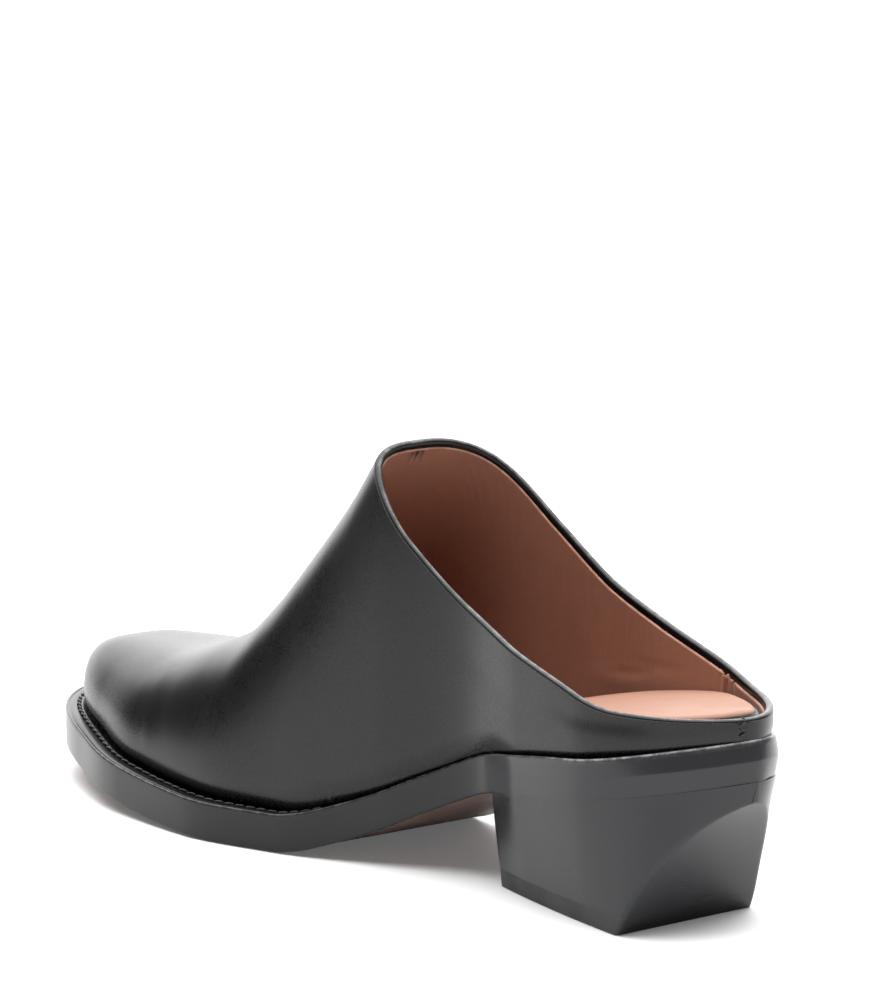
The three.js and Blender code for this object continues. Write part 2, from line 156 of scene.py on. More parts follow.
SOLE_WIDTHS = Table(
    "lateral medial",
    (0.00, 0.336, 0.276), (0.12, 0.343, 0.314), (0.22, 0.305, 0.338), (0.31, 0.212, 0.318),
    (0.42, 0.311, 0.309), (0.53, 0.437, 0.358), (0.64, 0.511, 0.440), (0.75, 0.493, 0.482),
    (0.86, 0.418, 0.466), (1.00, 0.363, 0.402),
)
WALL_WIDTHS = Table(
    "lateral medial",
    (0.00, 0.313, 0.252), (0.12, 0.326, 0.302), (0.22, 0.300, 0.344), (0.31, 0.252, 0.374),
    (0.42, 0.327, 0.355), (0.53, 0.402, 0.342), (0.64, 0.456, 0.386), (0.75, 0.432, 0.424),
    (0.86, 0.358, 0.408), (1.00, 0.312, 0.358),
)
UNDERSIDE = Table(
    "heel toe",
    (0.000, 1.000, 0.00), (0.107, 0.855, 0.00), (0.180, 0.782, 0.00), (0.295, 0.626, 0.00),
    (0.367, 0.418, 0.00), (0.422, 0.232, 0.00), (0.470, 0.100, 0.00), (0.500, 0.032, 0.00),
    (0.530, 0.000, 0.00), (0.600, 0.000, 0.00), (0.680, 0.000, 0.11), (0.790, 0.000, 0.42),
    (0.900, 0.000, 0.80), (1.000, 0.000, 1.00),
)
WELT_LEDGE = Table(
    "ledge middle",
    (0.00, 1.6, 0.0), (0.20, 0.9, 0.0), (0.33, 0.5, 0.2), (0.50, 3.0, 1.0), (0.65, 5.4, 1.0),
    (0.86, 5.9, -1.2), (1.00, 4.5, -4.5),
)
SECTIONS = Table(
    "crown ridge flank shoulder",
    (0.13, 1.540, 0.0, 0.36, 0.90), (0.27, 1.445, 0.0, 0.58, 0.83), (0.39, 1.277, 0.1, 0.65, 0.82),
    (0.50, 0.899, 1.4, 0.77, 0.82), (0.545, 0.767, 0.8, 0.79, 0.85), (0.59, 0.638, -0.2, 0.80, 0.87),
    (0.635, 0.530, -0.5, 0.79, 0.87), (0.68, 0.466, 0.3, 0.76, 0.84), (0.79, 0.379, 0.3, 0.69, 0.80),
    (0.89, 0.359, 0.2, 0.64, 0.71), (1.00, 0.346, -3.5, 0.58, 0.60),
)
TOPLINE = Table(
    "height",
    (0.00, 0.507), (0.09, 0.517), (0.16, 0.561), (0.24, 0.612), (0.31, 0.670), (0.385, 0.806),
    (0.46, 0.988), (0.54, 1.122),
)
FOOTBED_THICKNESS = Table(
    "thick",
    (0.00, 6.4), (0.04, 7.5), (0.08, 8.9), (0.12, 9.4), (0.32, 9.2), (0.48, 6.0), (0.62, 3.2),
    (1.00, 3.0),
)


# ---- Curves --------------------------------------------------------------------------------------


def ease(value: np.ndarray, start: float, end: float) -> np.ndarray:
    """Smooth step from 0 at start to 1 at end; start may be the larger of the two."""
    t = np.clip((np.asarray(value, float) - start) / (end - start), 0.0, 1.0)
    return t * t * (3 - 2 * t)


def rounded_end(into: np.ndarray, power: float) -> np.ndarray:
    """Superellipse that falls from 1 to 0 while into runs from 0 to 1."""
    inside = np.clip(into, 0.0, 1.0)
    return np.maximum(0.0, 1 - inside**power) ** (1 / power)


def end_rounding(station: np.ndarray, back: float, front: float) -> np.ndarray:
    """Share of the full width left at stations of an outline that runs from back to front."""
    toe = rounded_end((station - front + TOE_ROUND[0]) / TOE_ROUND[0], TOE_ROUND[1])
    heel = rounded_end((back + HEEL_ROUND[0] - station) / HEEL_ROUND[0], HEEL_ROUND[1])
    return toe * heel


def crowded(back: float, front: float, count: int) -> np.ndarray:
    """Stations from back to front, crowded at both ends."""
    return back + (front - back) * (0.5 - 0.5 * np.cos(np.pi * np.arange(count + 1) / count))


def unit(vectors: np.ndarray) -> np.ndarray:
    """Vectors of length one in the same directions."""
    return vectors / np.maximum(np.linalg.norm(vectors, axis=-1, keepdims=True), 1e-12)


def plan_outward(loop: np.ndarray) -> np.ndarray:
    """Outward directions of a closed plan outline that runs forward on its lateral side."""
    tangent = unit(np.roll(loop, -1, axis=0) - np.roll(loop, 1, axis=0))
    return np.stack([-tangent[:, 1], tangent[:, 0]], axis=1)


def there_and_back(there: np.ndarray, back: np.ndarray) -> np.ndarray:
    """One closed loop out of two rows of points or values that share their first and last."""
    return np.concatenate([there, back[1:-1][::-1]])


def closed(grid: np.ndarray) -> np.ndarray:
    """A grid with its first column repeated at the end."""
    return np.concatenate([grid, grid[:1]], axis=0)


def across(ring: np.ndarray, count: int, rows: int) -> np.ndarray:
    """Strips across the shoe that fill a ring.

    Args:
        ring: the ring's points, forward on the lateral side and back on the medial one.
        count: points on the lateral side, with both ends.
        rows: points along each strip.

    Returns:
        Points of shape (count, rows, 3).
    """
    lateral = ring[:count]
    medial = np.concatenate([ring[:1], ring[count:][::-1], ring[count - 1 : count]])
    share = np.linspace(0, 1, rows)[None, :, None]
    return lateral[:, None] + share * (medial - lateral)[:, None]


def underside(station: np.ndarray) -> np.ndarray:
    """Height of the outsole's underside above the floor."""
    lifted = UNDERSIDE.read("heel", station) * HEEL_HEIGHT
    return lifted + UNDERSIDE.read("toe", station) * TOE_SPRING


def sole_edges(station: np.ndarray, inset: float = 0.0) -> tuple[np.ndarray, np.ndarray]:
    """Sideways places of the sole's lateral and medial edges, moved in by an inset."""
    rounding = end_rounding(station, inset, LENGTH - inset)
    middle = WELT_LEDGE.read("middle", station)
    lateral = SOLE_WIDTHS.read("lateral", station) * BALL_WIDTH - middle - inset
    medial = SOLE_WIDTHS.read("medial", station) * BALL_WIDTH + middle - inset
    return middle + lateral * rounding, middle - medial * rounding


# ---- Meshes --------------------------------------------------------------------------------------


class Mark(Enum):
    """Values kept on the points of a mesh, for the finishes to read."""

    # where a finish lays its lighter colour: painted highlights on crests and beads, and rubbed edges
    WEAR = "wear"
    ALONG = "along"
    BELOW = "below"


class Skin:
    """Grids of points joined into one mesh, welded where they meet."""

    def __init__(self) -> None:
        """Starts with no grids."""
        self._points: list[np.ndarray] = []
        self._marks: list[np.ndarray] = []
        self._faces: list[np.ndarray] = []
        self._zones: list[np.ndarray] = []
        self._count = 0
        self.points = np.zeros((0, 3))
        self.marks = np.zeros((0, len(Mark)))
        self.faces: list[list[int]] = []
        self.zones: list[int] = []
        self.index = np.zeros(0, int)

    def add(
        self,
        grid: np.ndarray,
        flip: bool = False,
        zone: int = 0,
        marks: dict[Mark, np.ndarray] | None = None,
    ) -> np.ndarray:
        """Adds a grid of points, with a four-sided face between every four neighbours.

        Args:
            grid: points of shape (columns, rows, 3), in millimetres.
            flip: turns the faces over.
            zone: number of the material slot that the faces use.
            marks: values for the points, of shape (columns, rows).

        Returns:
            The points' numbers before welding, of shape (columns, rows).
        """
        columns, rows = grid.shape[:2]
        numbers = self._count + np.arange(columns * rows).reshape(columns, rows)
        corners = [numbers[:-1, :-1], numbers[1:, :-1], numbers[1:, 1:], numbers[:-1, 1:]]
        faces = np.stack([corner.ravel() for corner in corners], axis=1)
        values = np.zeros((columns * rows, len(Mark)))
        for order, mark in enumerate(Mark):
            if marks and mark in marks:
                values[:, order] = np.broadcast_to(marks[mark], (columns, rows)).ravel()
        self._points.append(grid.reshape(-1, 3))
        self._marks.append(values)
        self._faces.append(faces[:, ::-1] if flip else faces)
        self._zones.append(np.full(len(faces), zone))
        self._count += columns * rows
        return numbers

    def weld(self) -> None:
        """Joins points that lie together and drops the faces that close up."""
        points = np.concatenate(self._points)
        keys = np.round(points / WELD_DISTANCE).astype(np.int64)
        _, first, index = np.unique(keys, axis=0, return_index=True, return_inverse=True)
        self.index = index.ravel()
        self.points = points[first].copy()
        self.marks = np.concatenate(self._marks)[first]
        quads = self.index[np.concatenate(self._faces)]
        zones = np.concatenate(self._zones)
        same = quads == np.roll(quads, -1, axis=1)
        self.faces, self.zones = [], []
        seen: set[tuple[int, ...]] = set()
        for quad, collapsed, zone in zip(quads.tolist(), same.any(axis=1), zones.tolist()):
            corners = quad
            if collapsed:
                corners = [c for i, c in enumerate(quad) if c != quad[(i + 1) % len(quad)]]
            if len(set(corners)) != len(corners) or len(corners) < 3:
                continue
            key = tuple(sorted(corners))
            if key not in seen:
                seen.add(key)
                self.faces.append(corners)
                self.zones.append(zone)

    def normals(self) -> np.ndarray:
        """Normals of the welded points, each a mean over the faces around it."""
        total = np.zeros_like(self.points)
        padded = np.array([face if len(face) == 4 else [*face, face[0]] for face in self.faces])
        a, b, c, d = (self.points[padded[:, i]] for i in range(4))
        area = np.cross(c - a, d - b)
        for corner in range(4):
            np.add.at(total, padded[:, corner], area)
        return unit(total)

    def press(self, creases: tuple["Crease", ...]) -> None:
        """Moves the welded points along their normals by all the creases together."""
        placed = self.points - np.array(ORIGIN)
        lift = sum(crease.lift(placed) for crease in creases)
        self.points = self.points + lift[:, None] * self.normals()

    def make(self, name: str, materials: list[bpy.types.Material], slot: str) -> bpy.types.Object:
        """Makes the Blender object, riding on the shoe's body.

        Args:
            name: name of the piece.
            materials: materials in the order of the zones.
            slot: not used.

        Returns:
            The new object, in metres in the frame.
        """
        mesh = bpy.data.meshes.new(name)
        placed = (self.points - np.array(ORIGIN)) * MM
        mesh.from_pydata(placed.tolist(), [], self.faces)
        mesh.polygons.foreach_set("material_index", np.array(self.zones, np.int32))
        mesh.polygons.foreach_set("use_smooth", np.ones(len(self.faces), bool))
        for order, mark in enumerate(Mark):
            layer = mesh.attributes.new(mark.value, "FLOAT", "POINT")
            layer.data.foreach_set("value", self.marks[:, order].astype(np.float32))
        for material in materials:
            mesh.materials.append(material)
        mesh.validate()
        mesh.update()
        piece = bpy.data.objects.new(name, mesh)
        bpy.context.scene.collection.objects.link(piece)
        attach(piece, BODY)
        triangles = sum(len(face) - 2 for face in self.faces)
        LOG.info("%s: %d points, %d triangles", name, len(self.points), triangles)
        return piece


CREASE_END = 0.12


@dataclass(frozen=True)
class Crease:
    """A soft trough or ridge pressed into a surface along a line between two points.

    It fades toward its ends. Lips turn its rims a little the other way. Its points are in millimetres
    in the frame.
    """

    start: Point
    end: Point
    height: float
    width: float
    lips: float = 0.0

    def lift(self, points: np.ndarray) -> np.ndarray:
        """How far the surface moves along its normal.

        Args:
            points: points of the surface, in the frame, in millimetres.

        Returns:
            One distance for each point, in millimetres.
        """
        start, line = np.array(self.start), np.subtract(self.end, self.start)
        along = np.clip((points - start) @ line / (line @ line), 0.0, 1.0)
        away = np.linalg.norm(points - start - along[:, None] * line, axis=1) / self.width
        fade = np.sin(np.pi * (CREASE_END + (1 - 2 * CREASE_END) * along))
        shape = (1 - self.lips * away**2) * np.exp(-(away**2))
        return self.height * fade * shape


def thread_run(
    name: str,
    centres: np.ndarray,
    directions: np.ndarray,
    ups: np.ndarray,
    length: float,
    radius: float,
    arch: float,
    material: bpy.types.Material,
    slot: str,
) -> bpy.types.Object:
    """Makes a row of short stitches as one mesh.

    Args:
        name: name of the piece.
        centres: middle of each stitch, in millimetres from the back of the sole.
        directions: the way each stitch runs.
        ups: the way each stitch stands out of its leather.
        length: length of a stitch.
        radius: radius of the thread.
        arch: how far the middle of a stitch stands above its ends.
        material: the thread's material.
        slot: not used.

    Returns:
        The row of stitches.
    """
    skin = Skin()
    steps, around, taper = 9, 9, 0.93
    t = np.linspace(-1, 1, steps)
    thick = radius * np.sqrt(1 - np.abs(t) ** 4 * taper)
    turn = np.linspace(0, 2 * np.pi, around)
    for centre, direction, up in zip(centres, unit(directions), unit(ups)):
        aside = np.cross(direction, up)
        spine = centre + np.outer(t * length / 2, direction) + np.outer(arch * (1 - t**2), up)
        ring = np.outer(np.cos(turn), aside) + np.outer(np.sin(turn), up)
        skin.add(spine[:, None, :] + thick[:, None, None] * ring[None, :, :])
        for end, flip in ((0, True), (-1, False)):
            rim = spine[end] + thick[end] * ring
            tip = np.repeat(spine[end][None, :], around, axis=0)
            skin.add(np.stack([rim, tip], axis=0), flip=flip)
    skin.weld()
    return skin.make(name, [material], slot)


# ---- Node groups and finishes --------------------------------------------------------------------

Socket = bpy.types.NodeSocket


class Nodes:
    """Short way to place and join shader nodes in one tree."""

    def __init__(self, tree: bpy.types.NodeTree) -> None:
        """Works in the given tree."""
        self.tree = tree

    def add(
        self, kind: str, inputs: dict[str, object] | None = None, **settings: object
    ) -> bpy.types.Node:
        """Adds a node.

        Args:
            kind: Blender's name for the node, without its ShaderNode prefix.
            inputs: values or sockets for its inputs, by name or by number written as text.
            settings: other properties of the node.

        Returns:
            The node.
        """
        node = self.tree.nodes.new("ShaderNode" + kind)
        for name, value in settings.items():
            setattr(node, name, value)
        for name, value in (inputs or {}).items():
            self.feed(node.inputs[int(name)] if name.isdigit() else node.inputs[name], value)
        return node

    def feed(self, socket: Socket, value: object) -> None:
        """Joins another socket to an input, or sets the input to a plain value."""
        if isinstance(value, Socket):
            self.tree.links.new(value, socket)
        else:
            socket.default_value = value

    def math(self, operation: str, first: object, second: object = 0.0, clamp: bool = False) -> Socket:
        """Adds a Math node and returns its output."""
        node = self.add("Math", {"0": first, "1": second}, operation=operation, use_clamp=clamp)
        return node.outputs[0]

    def remaining(self, value: object, clamp: bool = False) -> Socket:
        """One less a value."""
        return self.math("SUBTRACT", 1.0, value, clamp)

    def centred(self, value: object) -> Socket:
        """A value less a half."""
        return self.math("SUBTRACT", value, 0.5)

    def spread(
        self, value: object, low: float, high: float, to_low: float = 0.0, to_high: float = 1.0
    ) -> Socket:
        """Adds a smooth Map Range node and returns its output."""
        inputs = {"Value": value, "From Min": low, "From Max": high, "To Min": to_low, "To Max": to_high}
        return self.add("MapRange", inputs, interpolation_type="SMOOTHSTEP").outputs["Result"]

    def blend(self, factor: object, first: object, second: object) -> Socket:
        """Adds a colour Mix node and returns its output."""
        inputs = {"0": factor, "6": first, "7": second}
        return self.add("Mix", inputs, data_type="RGBA").outputs[2]

    def position(self) -> Socket:
        """The place of a point on its object."""
        return self.add("TexCoord").outputs["Object"]

    def noise(self, place: Socket, scale: object, detail: float) -> Socket:
        """Adds a Noise texture and returns its value."""
        return self.add("TexNoise", {"Vector": place, "Scale": scale, "Detail": detail}).outputs["Fac"]

    def mark(self, mark: Mark) -> Socket:
        """The value that a mesh keeps under a mark."""
        return self.add("Attribute", attribute_name=mark.value).outputs["Fac"]


class EffectGroup:
    """A shader node group with named inputs and outputs, built once and used by many finishes."""

    name = ""
    inputs: tuple[tuple[str, str, object], ...] = ()
    outputs: tuple[tuple[str, str], ...] = ()

    def tree(self) -> bpy.types.NodeTree:
        """The group's node tree, made on first use."""
        made = bpy.data.node_groups.get(self.name)
        if made:
            return made
        made = bpy.data.node_groups.new(self.name, "ShaderNodeTree")
        for name, kind, value in self.inputs:
            socket = made.interface.new_socket(name=name, in_out="INPUT", socket_type=kind)
            socket.default_value = value
        for name, kind in self.outputs:
            made.interface.new_socket(name=name, in_out="OUTPUT", socket_type=kind)
        entry = made.nodes.new("NodeGroupInput")
        leave = made.nodes.new("NodeGroupOutput")
        for name, socket in self.wire(Nodes(made), entry.outputs).items():
            made.links.new(socket, leave.inputs[name])
        return made

    def wire(self, nodes: Nodes, given: bpy.types.bpy_prop_collection) -> dict[str, Socket]:
        """Places the group's nodes and returns the socket for each output."""
        raise NotImplementedError

    def place(self, nodes: Nodes, **inputs: object) -> bpy.types.Node:
        """Adds this group to a material.

        Args:
            nodes: the material's nodes.
            inputs: values or sockets, by the name of the input.

        Returns:
            The group's node.
        """
        node = nodes.tree.nodes.new("ShaderNodeGroup")
        node.node_tree = self.tree()
        for name, value in inputs.items():
            nodes.feed(node.inputs[name], value)
        return node


FLOAT, COLOUR = "NodeSocketFloat", "NodeSocketColor"


class PebbleGrain(EffectGroup):
    """Fine pebbles and pores of a tanned hide."""

    name = "Pebble grain"
    inputs = (("Scale", FLOAT, 1500.0), ("Pores", FLOAT, 0.4), ("Drift", FLOAT, 0.3))
    outputs = (("Height", FLOAT), ("Mask", FLOAT))
    bend_scale, bend_reach = 420.0, 0.0011
    pebble_depth = 0.9
    pore_fineness = 2.2
    patch_scale, patch_span = 55.0, (0.35, 0.68)

    def wire(self, nodes: Nodes, given: bpy.types.bpy_prop_collection) -> dict[str, Socket]:
        """Pebbles bent by a slow noise, with pores that come and go."""
        place = nodes.position()
        bend = nodes.add("TexNoise", {"Vector": place, "Scale": self.bend_scale, "Detail": 2.0})
        bend_by = {"0": bend.outputs["Color"], "Scale": self.bend_reach}
        shift = nodes.add("VectorMath", bend_by, operation="SCALE").outputs[0]
        moved = nodes.add("VectorMath", {"0": place, "1": shift}, operation="ADD").outputs[0]
        cells = nodes.add("TexVoronoi", {"Vector": moved, "Scale": given["Scale"]}, feature="SMOOTH_F1")
        pebbles = nodes.remaining(nodes.math("MULTIPLY", cells.outputs["Distance"], self.pebble_depth))
        fine = nodes.noise(moved, nodes.math("MULTIPLY", given["Scale"], self.pore_fineness), 3.0)
        pores = nodes.math("MULTIPLY", fine, given["Pores"])
        patch = nodes.spread(nodes.noise(place, self.patch_scale, 2.0), *self.patch_span)
        drift = nodes.math("MULTIPLY", patch, given["Drift"])
        uneven = nodes.math("ADD", drift, nodes.remaining(given["Drift"]))
        height = nodes.math("MULTIPLY", nodes.math("ADD", pebbles, pores), uneven)
        return {"Height": height, "Mask": patch}


class ToneDrift(EffectGroup):
    """Slow change between two colours, with a finer mottle on it."""

    name = "Tone drift"
    inputs = (
        ("First", COLOUR, (0.5, 0.5, 0.5, 1.0)),
        ("Second", COLOUR, (0.4, 0.4, 0.4, 1.0)),
        ("Scale", FLOAT, 30.0),
        ("Mottle", FLOAT, 0.3),
    )
    outputs = (("Colour", COLOUR), ("Mask", FLOAT))
    mottle_fineness = 16.0
    change_span = (0.36, 0.64)

    def wire(self, nodes: Nodes, given: bpy.types.bpy_prop_collection) -> dict[str, Socket]:
        """Two noises added, which choose between the colours."""
        place = nodes.position()
        slow = nodes.noise(place, given["Scale"], 3.0)
        fine = nodes.noise(place, nodes.math("MULTIPLY", given["Scale"], self.mottle_fineness), 2.0)
        offset = nodes.math("MULTIPLY", nodes.centred(fine), given["Mottle"])
        mask = nodes.spread(nodes.math("ADD", slow, offset), *self.change_span)
        return {"Colour": nodes.blend(mask, given["First"], given["Second"]), "Mask": mask}


class HighlightAndEdgeWear(EffectGroup):
    """Painted highlights on crests and beads, and rubbed edges: the mesh marks where they are, and a noise
    breaks them up.
    """

    name = "Highlight and edge wear"
    inputs = (("Amount", FLOAT, 0.5), ("Scale", FLOAT, 300.0))
    outputs = (("Mask", FLOAT),)
    break_span = (0.42, 0.6)
    least = 0.35

    def wire(self, nodes: Nodes, given: bpy.types.bpy_prop_collection) -> dict[str, Socket]:
        """The mark on the points, times a noise."""
        noise = nodes.noise(nodes.position(), given["Scale"], 4.0)
        broken = nodes.spread(noise, *self.break_span, self.least, 1.0)
        highlight_and_worn = nodes.math("MULTIPLY", nodes.mark(Mark.WEAR), broken)
        return {"Mask": nodes.math("MULTIPLY", highlight_and_worn, given["Amount"], clamp=True)}


class LevelStreaks(EffectGroup):
    """Streaks along the levels of stacked or sanded leather, under its paint."""

    name = "Level streaks"
    inputs = (("Fineness", FLOAT, 1500.0),)
    outputs = (("Height", FLOAT),)
    level_scale = 22.0
    wave_scale, wave_height = 28.0, 0.0012

    def wire(self, nodes: Nodes, given: bpy.types.bpy_prop_collection) -> dict[str, Socket]:
        """A noise stretched along the floor, with levels that wave a little."""
        place = nodes.position()
        axes = nodes.add("SeparateXYZ", {"Vector": place}).outputs
        slow = nodes.centred(nodes.noise(place, self.wave_scale, 1.0))
        wave = nodes.math("MULTIPLY", slow, self.wave_height)
        stretched = {
            "0": nodes.math("MULTIPLY", axes[0], self.level_scale),
            "1": nodes.math("MULTIPLY", axes[1], self.level_scale),
            "2": nodes.math("MULTIPLY", nodes.math("ADD", axes[2], wave), given["Fineness"]),
        }
        return {"Height": nodes.noise(nodes.add("CombineXYZ", stretched).outputs[0], 1.0, 3.0)}


class RimWrinkles(EffectGroup):
    """Fine wrinkles that run down from a topline, deepest a little below it."""

    name = "Rim wrinkles"
    inputs = (("Pitch", FLOAT, 0.004), ("Reach", FLOAT, 0.03), ("From", FLOAT, 0.0), ("To", FLOAT, 1.0))
    outputs = (("Height", FLOAT), ("Mask", FLOAT))
    sway_scale, sway_reach = 45.0, 0.006
    down_scale = 34.0
    line_width = 0.14
    fade_from = 0.15
    end_length = 0.03

    def wire(self, nodes: Nodes, given: bpy.types.bpy_prop_collection) -> dict[str, Socket]:
        """A noise drawn out down the lining, faded below the reach and outside the span."""
        along, below = nodes.mark(Mark.ALONG), nodes.mark(Mark.BELOW)
        slow = nodes.noise(nodes.position(), self.sway_scale, 2.0)
        sway = nodes.math("MULTIPLY", slow, self.sway_reach)
        across_rim = nodes.math("DIVIDE", nodes.math("ADD", along, sway), given["Pitch"])
        drawn = {"0": across_rim, "1": nodes.math("MULTIPLY", below, self.down_scale)}
        lines = nodes.noise(nodes.add("CombineXYZ", drawn).outputs[0], 1.0, 3.0)
        flat = nodes.spread(nodes.math("ABSOLUTE", nodes.centred(lines)), 0.0, self.line_width)
        deep = nodes.spread(nodes.math("DIVIDE", below, given["Reach"]), self.fade_from, 1.0)
        start = nodes.spread(nodes.math("SUBTRACT", along, given["From"]), 0.0, self.end_length)
        end = nodes.spread(nodes.math("SUBTRACT", given["To"], along), 0.0, self.end_length)
        span = nodes.math("MULTIPLY", start, end)
        faded = nodes.math("MULTIPLY", nodes.remaining(deep, clamp=True), span)
        mask = nodes.math("MULTIPLY", nodes.remaining(flat), faded)
        return {"Height": nodes.math("MULTIPLY", mask, -1.0), "Mask": mask}


def grey(value: float) -> tuple[float, float, float, float]:
    """A neutral colour with full alpha."""
    return (value, value, value, 1.0)


def opaque(colour: Colour) -> tuple[float, float, float, float]:
    """A colour with full alpha."""
    return (*colour, 1.0)


def new_material(name: str) -> tuple[bpy.types.Material, Nodes, bpy.types.Node]:
    """A material with its nodes and its Principled shader."""
    material = bpy.data.materials.new(name)
    material.use_nodes = True
    shader = material.node_tree.nodes["Principled BSDF"]
    return material, Nodes(material.node_tree), shader


@dataclass(frozen=True)
class Finish:
    """What the shoe's finishes share: two colours that drift, a lighter colour for painted highlights and
    worn edges, and raised layers.

    A value named wear holds the amount and the scale of that lighter colour, laid as painted
    highlights on crests and beads and on rubbed edges. One named raised holds a layer's strength and its
    distance in metres.
    """

    name: str = ""
    first: Colour = (0.0, 0.0, 0.0)
    second: Colour = (0.0, 0.0, 0.0)
    highlight_and_worn: Colour = (0.0, 0.0, 0.0)
    wear: tuple[float, float] = (0.0, 0.0)
    roughness: tuple[float, float] = (0.5, 0.5)
    tone_scale: float = 0.0
    mottle: float = 0.0

    def tone(self, nodes: Nodes) -> bpy.types.Node:
        """Places the drift between the two colours."""
        first, second = opaque(self.first), opaque(self.second)
        return ToneDrift().place(nodes, First=first, Second=second, Scale=self.tone_scale, Mottle=self.mottle)

    def paint_highlight_and_wear(self, nodes: Nodes, colour: Socket) -> Socket:
        """Lays the lighter colour over a colour where the mesh marks it: painted highlights on crests and
        beads, and rubbed edges.
        """
        amount, scale = self.wear
        mask = HighlightAndEdgeWear().place(nodes, Amount=amount, Scale=scale).outputs["Mask"]
        return nodes.blend(mask, colour, opaque(self.highlight_and_worn))

    def rough(self, nodes: Nodes, mask: Socket, low: float = 0.0, high: float = 1.0) -> Socket:
        """Roughness between the finish's two values, by a mask."""
        return nodes.spread(mask, low, high, *self.roughness)

    def dress(
        self,
        nodes: Nodes,
        shader: bpy.types.Node,
        colour: Socket,
        rough: Socket,
        layers: list[tuple[Socket, float, float]],
    ) -> None:
        """Joins colour, roughness and raised layers to the shader.

        Args:
            nodes: the material's nodes.
            shader: the Principled shader.
            colour: the surface's colour.
            rough: the surface's roughness.
            layers: for each layer its height socket, its strength and its distance in metres.
        """
        nodes.feed(shader.inputs["Base Color"], colour)
        nodes.feed(shader.inputs["Roughness"], rough)
        below: dict[str, Socket] = {}
        for height, strength, distance in layers:
            raised = {"Height": height, "Strength": strength, "Distance": distance, **below}
            below = {"Normal": nodes.add("Bump", raised).outputs["Normal"]}
        nodes.feed(shader.inputs["Normal"], below["Normal"])


@dataclass(frozen=True)
class CalfFinish(Finish):
    """Smooth calf leather with a soft satin finish."""

    name: str = "Black calf"
    first: Colour = (0.0035, 0.0036, 0.0040)
    second: Colour = (0.0055, 0.0056, 0.0060)
    # light grey laid on the fold's crest as a thin painted highlight line
    highlight_and_worn: Colour = (0.22, 0.215, 0.21)
    wear: tuple[float, float] = (0.7, 380.0)
    roughness: tuple[float, float] = (0.25, 0.27)
    tone_scale: float = 24.0
    mottle: float = 0.4
    grain_scale: float = 1250.0
    grain_drift: float = 0.3
    grain_raised: tuple[float, float] = (0.16, 0.00004)
    grain_rough: float = 0.04
    swell_scale: float = 60.0
    swell_raised: tuple[float, float] = (0.12, 0.0005)
    specular: float = 0.36

    def material(self) -> bpy.types.Material:
        """Builds the material."""
        material, nodes, shader = new_material(self.name)
        grain = PebbleGrain().place(nodes, Scale=self.grain_scale, Pores=0.0, Drift=self.grain_drift)
        height = grain.outputs["Height"]
        tone = self.tone(nodes)
        colour = self.paint_highlight_and_wear(nodes, tone.outputs["Colour"])
        rough = self.rough(nodes, tone.outputs["Mask"])
        rough = nodes.math("ADD", rough, nodes.math("MULTIPLY", height, self.grain_rough))
        swell = nodes.noise(nodes.position(), self.swell_scale, 2.0)
        layers = [(swell, *self.swell_raised), (height, *self.grain_raised)]
        shader.inputs["Specular IOR Level"].default_value = self.specular
        self.dress(nodes, shader, colour, rough, layers)
        return material


@dataclass(frozen=True)
class EdgePaintFinish(Finish):
    """Black edge paint over sanded leather, greyer on the heel than on the sole."""

    name: str = "Black edge paint"
    first: Colour = (0.0045, 0.0046, 0.0052)
    second: Colour = (0.0065, 0.0066, 0.0074)
    # light grey laid on the welt's bead as a painted highlight, strongest at the back
    highlight_and_worn: Colour = (0.34, 0.34, 0.34)
    wear: tuple[float, float] = (0.85, 420.0)
    roughness: tuple[float, float] = (0.25, 0.262)
    tone_scale: float = 34.0
    mottle: float = 0.35
    heel_grey: Colour = (0.026, 0.0265, 0.029)
    heel_span: tuple[float, float] = (0.024, 0.036)
    streak_fineness: float = 1700.0
    streak_span: tuple[float, float] = (0.3, 0.7)
    streak_raised: tuple[float, float] = (0.03, 0.000005)
    specular: float = 0.36

    def material(self) -> bpy.types.Material:
        """Builds the material."""
        material, nodes, shader = new_material(self.name)
        streaks = LevelStreaks().place(nodes, Fineness=self.streak_fineness).outputs["Height"]
        ahead = nodes.add("SeparateXYZ", {"Vector": nodes.position()}).outputs[0]
        is_sole = nodes.spread(ahead, *self.heel_span)
        base = nodes.blend(is_sole, opaque(self.heel_grey), self.tone(nodes).outputs["Colour"])
        rough = self.rough(nodes, streaks, *self.streak_span)
        shader.inputs["Specular IOR Level"].default_value = self.specular
        self.dress(nodes, shader, self.paint_highlight_and_wear(nodes, base), rough, [(streaks, *self.streak_raised)])
        return material


